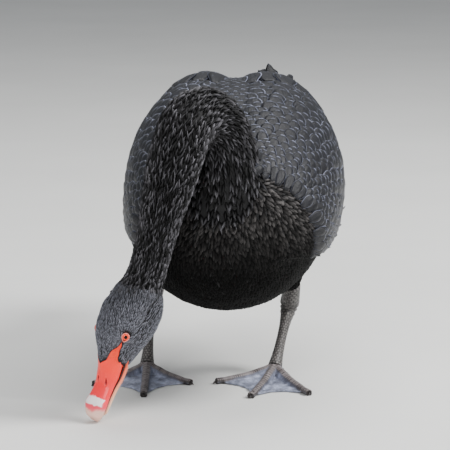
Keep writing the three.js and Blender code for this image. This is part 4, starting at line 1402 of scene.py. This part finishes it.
def foot(name, node, leg):
    """Toes with cross scales on top and a pebbled web between them."""
    piece = remeshed(applied(plain_copy(node)), 0.75, 5)
    points, normals = mesh_points(piece.data)
    lines = toe_lines(leg)
    best = np.full(len(points), 1e9)
    place = np.zeros(len(points))
    for line, length in lines.values():
        away = np.linalg.norm(points[:, None, :2] - line[None, :, :2], axis=2)
        near = away.argmin(1)
        closer = away.min(1) < best
        best = np.where(closer, away.min(1), best)
        place = np.where(closer, near / 59 * length, place)
    on_toe = np.clip((5.2 - best) / 1.6, 0, 1)
    upper = np.clip(normals[:, 2] * 2, 0, 1)
    saw = (place / 2.6) % 1
    scute = on_toe * upper * (1 - np.abs(saw - 0.5) ** 4 * 16)
    x, y = points[:, 0], points[:, 1]
    ripple = np.sin(x * 1.9 + np.sin(y * 0.7)) * np.sin(y * 1.6 + np.sin(x * 0.9))
    lump = np.sin(x * 0.42 + 1.3 * np.sin(y * 0.21)) * np.sin(y * 0.37 + np.sin(x * 0.3))
    relief = 0.5 * (scute - 0.5 * on_toe * upper) + (1 - on_toe) * (0.16 * ripple + 0.8 * lump + 0.3) * upper
    moved = points + normals * relief[:, None]
    moved[:, 2] = np.maximum(moved[:, 2], 0.0)
    piece.data.vertices.foreach_set("co", to_row(moved).ravel())
    for key, values in (("scale", scute), ("toe", on_toe)):
        layer = piece.data.attributes.new(key, "FLOAT", "POINT")
        layer.data.foreach_set("value", values.astype(np.float32))
    piece.data.update()
    piece.name = name
    return piece


def scaled_skin():
    """Leg scales: dry horny plates, dark grey with paler raised tops and black creases, the creases painted
    shade.
    """
    material, tree = new_look("scaled_leg_skin", 0.5)
    scale = add(tree, "Attribute", out="Fac", attribute_name="scale")
    # Darker towards the creases between scales as painted shade, paler on the raised tops.
    paleness = add(tree, "Math", (scale, mottle(tree, 300)), operation="MULTIPLY")
    colour = add(tree, "ValToRGB", (paleness,), stops=[(0.05, "#1c1b1b"), (0.3, "#403d3c"), (0.6, "#706c69")])
    return surface(material, colour, mottle(tree, 900), 0.4, 0.0004)


def web_skin():
    """Foot skin: leathery blue grey webs with fine pebbles and pale blue patches of painted sky reflection,
    and browner scaled toes with painted shade in the creases between scales.
    """
    material, tree = new_look("webbed_foot_skin", 0.5)
    toe = add(tree, "Attribute", out="Fac", attribute_name="toe")
    scale = add(tree, "Attribute", out="Fac", attribute_name="scale")
    patches = mottle(tree, 75, 7.0, 0.7)
    # The palest blue patches of the webs are painted sky reflection.
    web = add(tree, "ValToRGB", (patches,), stops=[(0.3, "#4a4c57"), (0.5, "#868b9e"), (0.7, "#bac2dc")])
    # The toes darken in the creases between scales: painted shade.
    paleness = add(tree, "Math", (scale, patches), operation="MULTIPLY")
    toes = add(tree, "ValToRGB", (paleness,), stops=[(0.0, "#231f1f"), (0.25, "#494241"), (0.55, "#837c7c")])
    colour = add(tree, "Mix", {0: toe, 6: web, 7: toes}, 2, **COLOURS)
    place = add(tree, "TexCoord", out="Object")
    pebbles = add(tree, "TexVoronoi", {"Vector": place, "Scale": 900.0}, "Distance")
    return surface(material, colour, pebbles, 0.5, 0.0005)


def claw_horn():
    """Claw horn: dark, hard and slightly polished."""
    material, tree = new_look("dark_claw_horn", 0.35)
    colour = add(tree, "ValToRGB", (mottle(tree, 500),), stops=[(0.3, "#161413"), (0.7, "#3a3534")])
    return surface(material, colour)


def claw(node):
    """A claw with its edges eased."""
    return remeshed(applied(plain_copy(node)), 0.4, 3)


# The whole bird
def dress():
    """Makes every piece of the bird, with its material."""
    skin = body_skin()
    ground = Ground(skin)
    hidden = (*FLESH, "thigh_left", "thigh_right", "wing_left", "wing_right", "tail")
    finished(skin, dark_skin(), "body_plumage", *hidden)

    face = head_skin()
    head_ground = Ground(face)
    finished(face, skin_of_head(), "neck_plumage", "head")
    eye_finish, lid_finish = wet_eye(), lid_skin()
    for name, side in EYES.items():
        finished(eyeball(f"wet_eye_{name}", side), eye_finish, "iris", f"eye_{name}")
        finished(lid(f"eyelid_{name}", side), lid_finish, "red_bill")
    upper_horn, lower_horn = bill_horn("upper_bill_horn", False), bill_horn("lower_bill_horn", True)
    finished(bill_half("upper_bill", UPPER_ROWS, False), upper_horn, "red_bill", "bill_upper", "bill_nail")
    finished(bill_half("lower_bill", LOWER_ROWS, True), lower_horn, "lower_bill", "bill_lower")
    finished(mouth(), mouth_line_shade(), "lower_bill")

    # Each down's root colour is painted shade between the tufts, and its tip colour is painted highlight.
    down = down_tuft("neck_down", "#010101", "#7e7c82", 0.6, 0.2)
    velvet = down_tuft("head_velvet", "#18181c", "#a9abb8", 0.6, 0.3, (0.22, 0.085))
    # The breast down's tips darken from 0.3 m down to 0.15 m over the ground: painted shade on the lower
    # breast.
    breast = down_tuft("breast_down", "#030303", "#827e7d", 0.75, 0.08, (0.15, 0.3))
    # The belly's down is near black: painted shade on the underside, which faces the ground. The rump plumage
    # wears it too.
    painted_shade_down = down_tuft("belly_down_painted_shade", "#000000", "#070706", 0.85, 0.05)
    covert = feather_keratin("covert_feather", "#0a0a0e", "#181921", "#8a8ea3", 0.34, 0.45, 30, 0.28)
    long_feather = feather_keratin("tertial_feather", "#08080b", "#16161b", "#4b4d58", 0.3, 0.42, 60, 0.25)
    white = feather_keratin("white_primary_feather", "#cfccc6", "#f0eee8", "#f6f4f0", 0.3, 0.6, 70)
    for name, start, end in (("neck_plumage_upper", 0.5, 1.0), ("neck_plumage_lower", 0.05, 0.5)):
        finished(neck_coat(name, start, end, ground).made(), down, "neck_plumage")
    finished(head_coat(head_ground).made(), velvet, "neck_plumage")
    for name, look, zone, room, candidates, length, lift in (
        ("breast_plumage", breast, breast_zone, 2.8, 70000, 9.5, 1.1),
        ("belly_plumage", painted_shade_down, belly_zone, 3.8, 50000, 11, 2.0),
        ("rump_plumage", painted_shade_down, rump_zone, 6.0, 8000, 22, 3.0),
    ):
        soft = soft_coat(name, skin, ground, zone, room, candidates, length, lift)
        finished(soft.made(), look, "body_plumage")
    finished(mantle_coat().made(), covert, "wing_feather")
    for name, wing in WINGS.items():
        finished(wing_coat(f"wing_coverts_{name}", wing, ground).made(), covert, "wing_feather")
        finished(flight_coat(f"tertials_{name}", wing, CURLED[name]).made(), long_feather, "wing_feather")
        finished(primaries(f"primaries_{name}", wing).made(), white, "wing_feather")
    finished(tail_coat().made(), long_feather, "tail_feather")

    scaled, web, horn = scaled_skin(), web_skin(), claw_horn()
    for name, leg in LEGS.items():
        finished(shank(f"scaled_shank_{name}", leg), scaled, "leg_skin", f"shank_{name}")
        finished(foot(f"webbed_foot_{name}", f"foot_{name}", leg), web, "web_skin", f"foot_{name}")
        for toe in ("inner", "middle", "outer", "hind"):
            node_name = f"claw_{name}_{toe}"
            piece = claw(node_name)
            piece.name = f"horn_{node_name}"
            finished(piece, horn, "claw", node_name)


# Studio
def studio():
    """A pale plain floor under soft light."""
    floor_mesh = bpy.data.meshes.new("floor")
    half = 9.0
    corners = [(-half, -half, 0), (half, -half, 0), (half, half, 0), (-half, half, 0)]
    floor_mesh.from_pydata(corners, [], [(0, 1, 2, 3)])
    floor = bpy.data.objects.new("floor", floor_mesh)
    bpy.context.scene.collection.objects.link(floor)
    paint, tree = new_look("pale_studio_floor", 0.9)
    tone = add(tree, "ValToRGB", (mottle(tree, 3),), stops=[(0.3, "#d9d9d6"), (0.7, "#dededb")])
    floor_mesh.materials.append(surface(paint, tone))
    world = bpy.data.worlds.new("soft_sky")
    world.use_nodes = True
    sky = world.node_tree.nodes["Background"]
    sky.inputs["Color"].default_value = linear("#e4e8ee")
    sky.inputs["Strength"].default_value = 0.4
    bpy.context.scene.world = world
    for name, place, size, power in (
        ("key", (1.9, -0.5, 2.2), 1.1, 120),
        ("sky", (0.3, 0.9, 2.8), 2.2, 70),
        ("fill", (-0.7, -2.7, 1.2), 1.5, 60),
    ):
        lamp = bpy.data.lights.new(name, "AREA")
        lamp.size = size
        lamp.energy = power
        holder = bpy.data.objects.new(name, lamp)
        holder.location = place
        holder.rotation_euler = (Vector((0, 0, 0.2)) - Vector(place)).to_track_quat("-Z", "Y").to_euler()
        bpy.context.scene.collection.objects.link(holder)


# The photo's view: 9.5 degrees down on the bird from 3.2 m in front, 0.88 pixels a millimetre at its middle
CAMERA_DISTANCE, CAMERA_ELEVATION = 3200.0, math.radians(9.5)
PIXELS_PER_MM, IMAGE_WIDTH, SENSOR = 0.88, 450, 36.0
CAMERA_TARGET = np.array([0.0, 60.0, 165.66])


def camera():
    """The photo's camera."""
    data = bpy.data.cameras.new("photo_view")
    data.sensor_width = SENSOR
    data.lens = PIXELS_PER_MM * CAMERA_DISTANCE * SENSOR / IMAGE_WIDTH
    back = np.array([0, -math.cos(CAMERA_ELEVATION), math.sin(CAMERA_ELEVATION)])
    holder = bpy.data.objects.new("photo_view", data)
    holder.location = to_row(CAMERA_TARGET + back * CAMERA_DISTANCE)
    holder.rotation_euler = (math.pi / 2 - CAMERA_ELEVATION, 0, 0)
    data.clip_end = 60
    bpy.context.scene.collection.objects.link(holder)
    bpy.context.scene.camera = holder


dress()
studio()
camera()
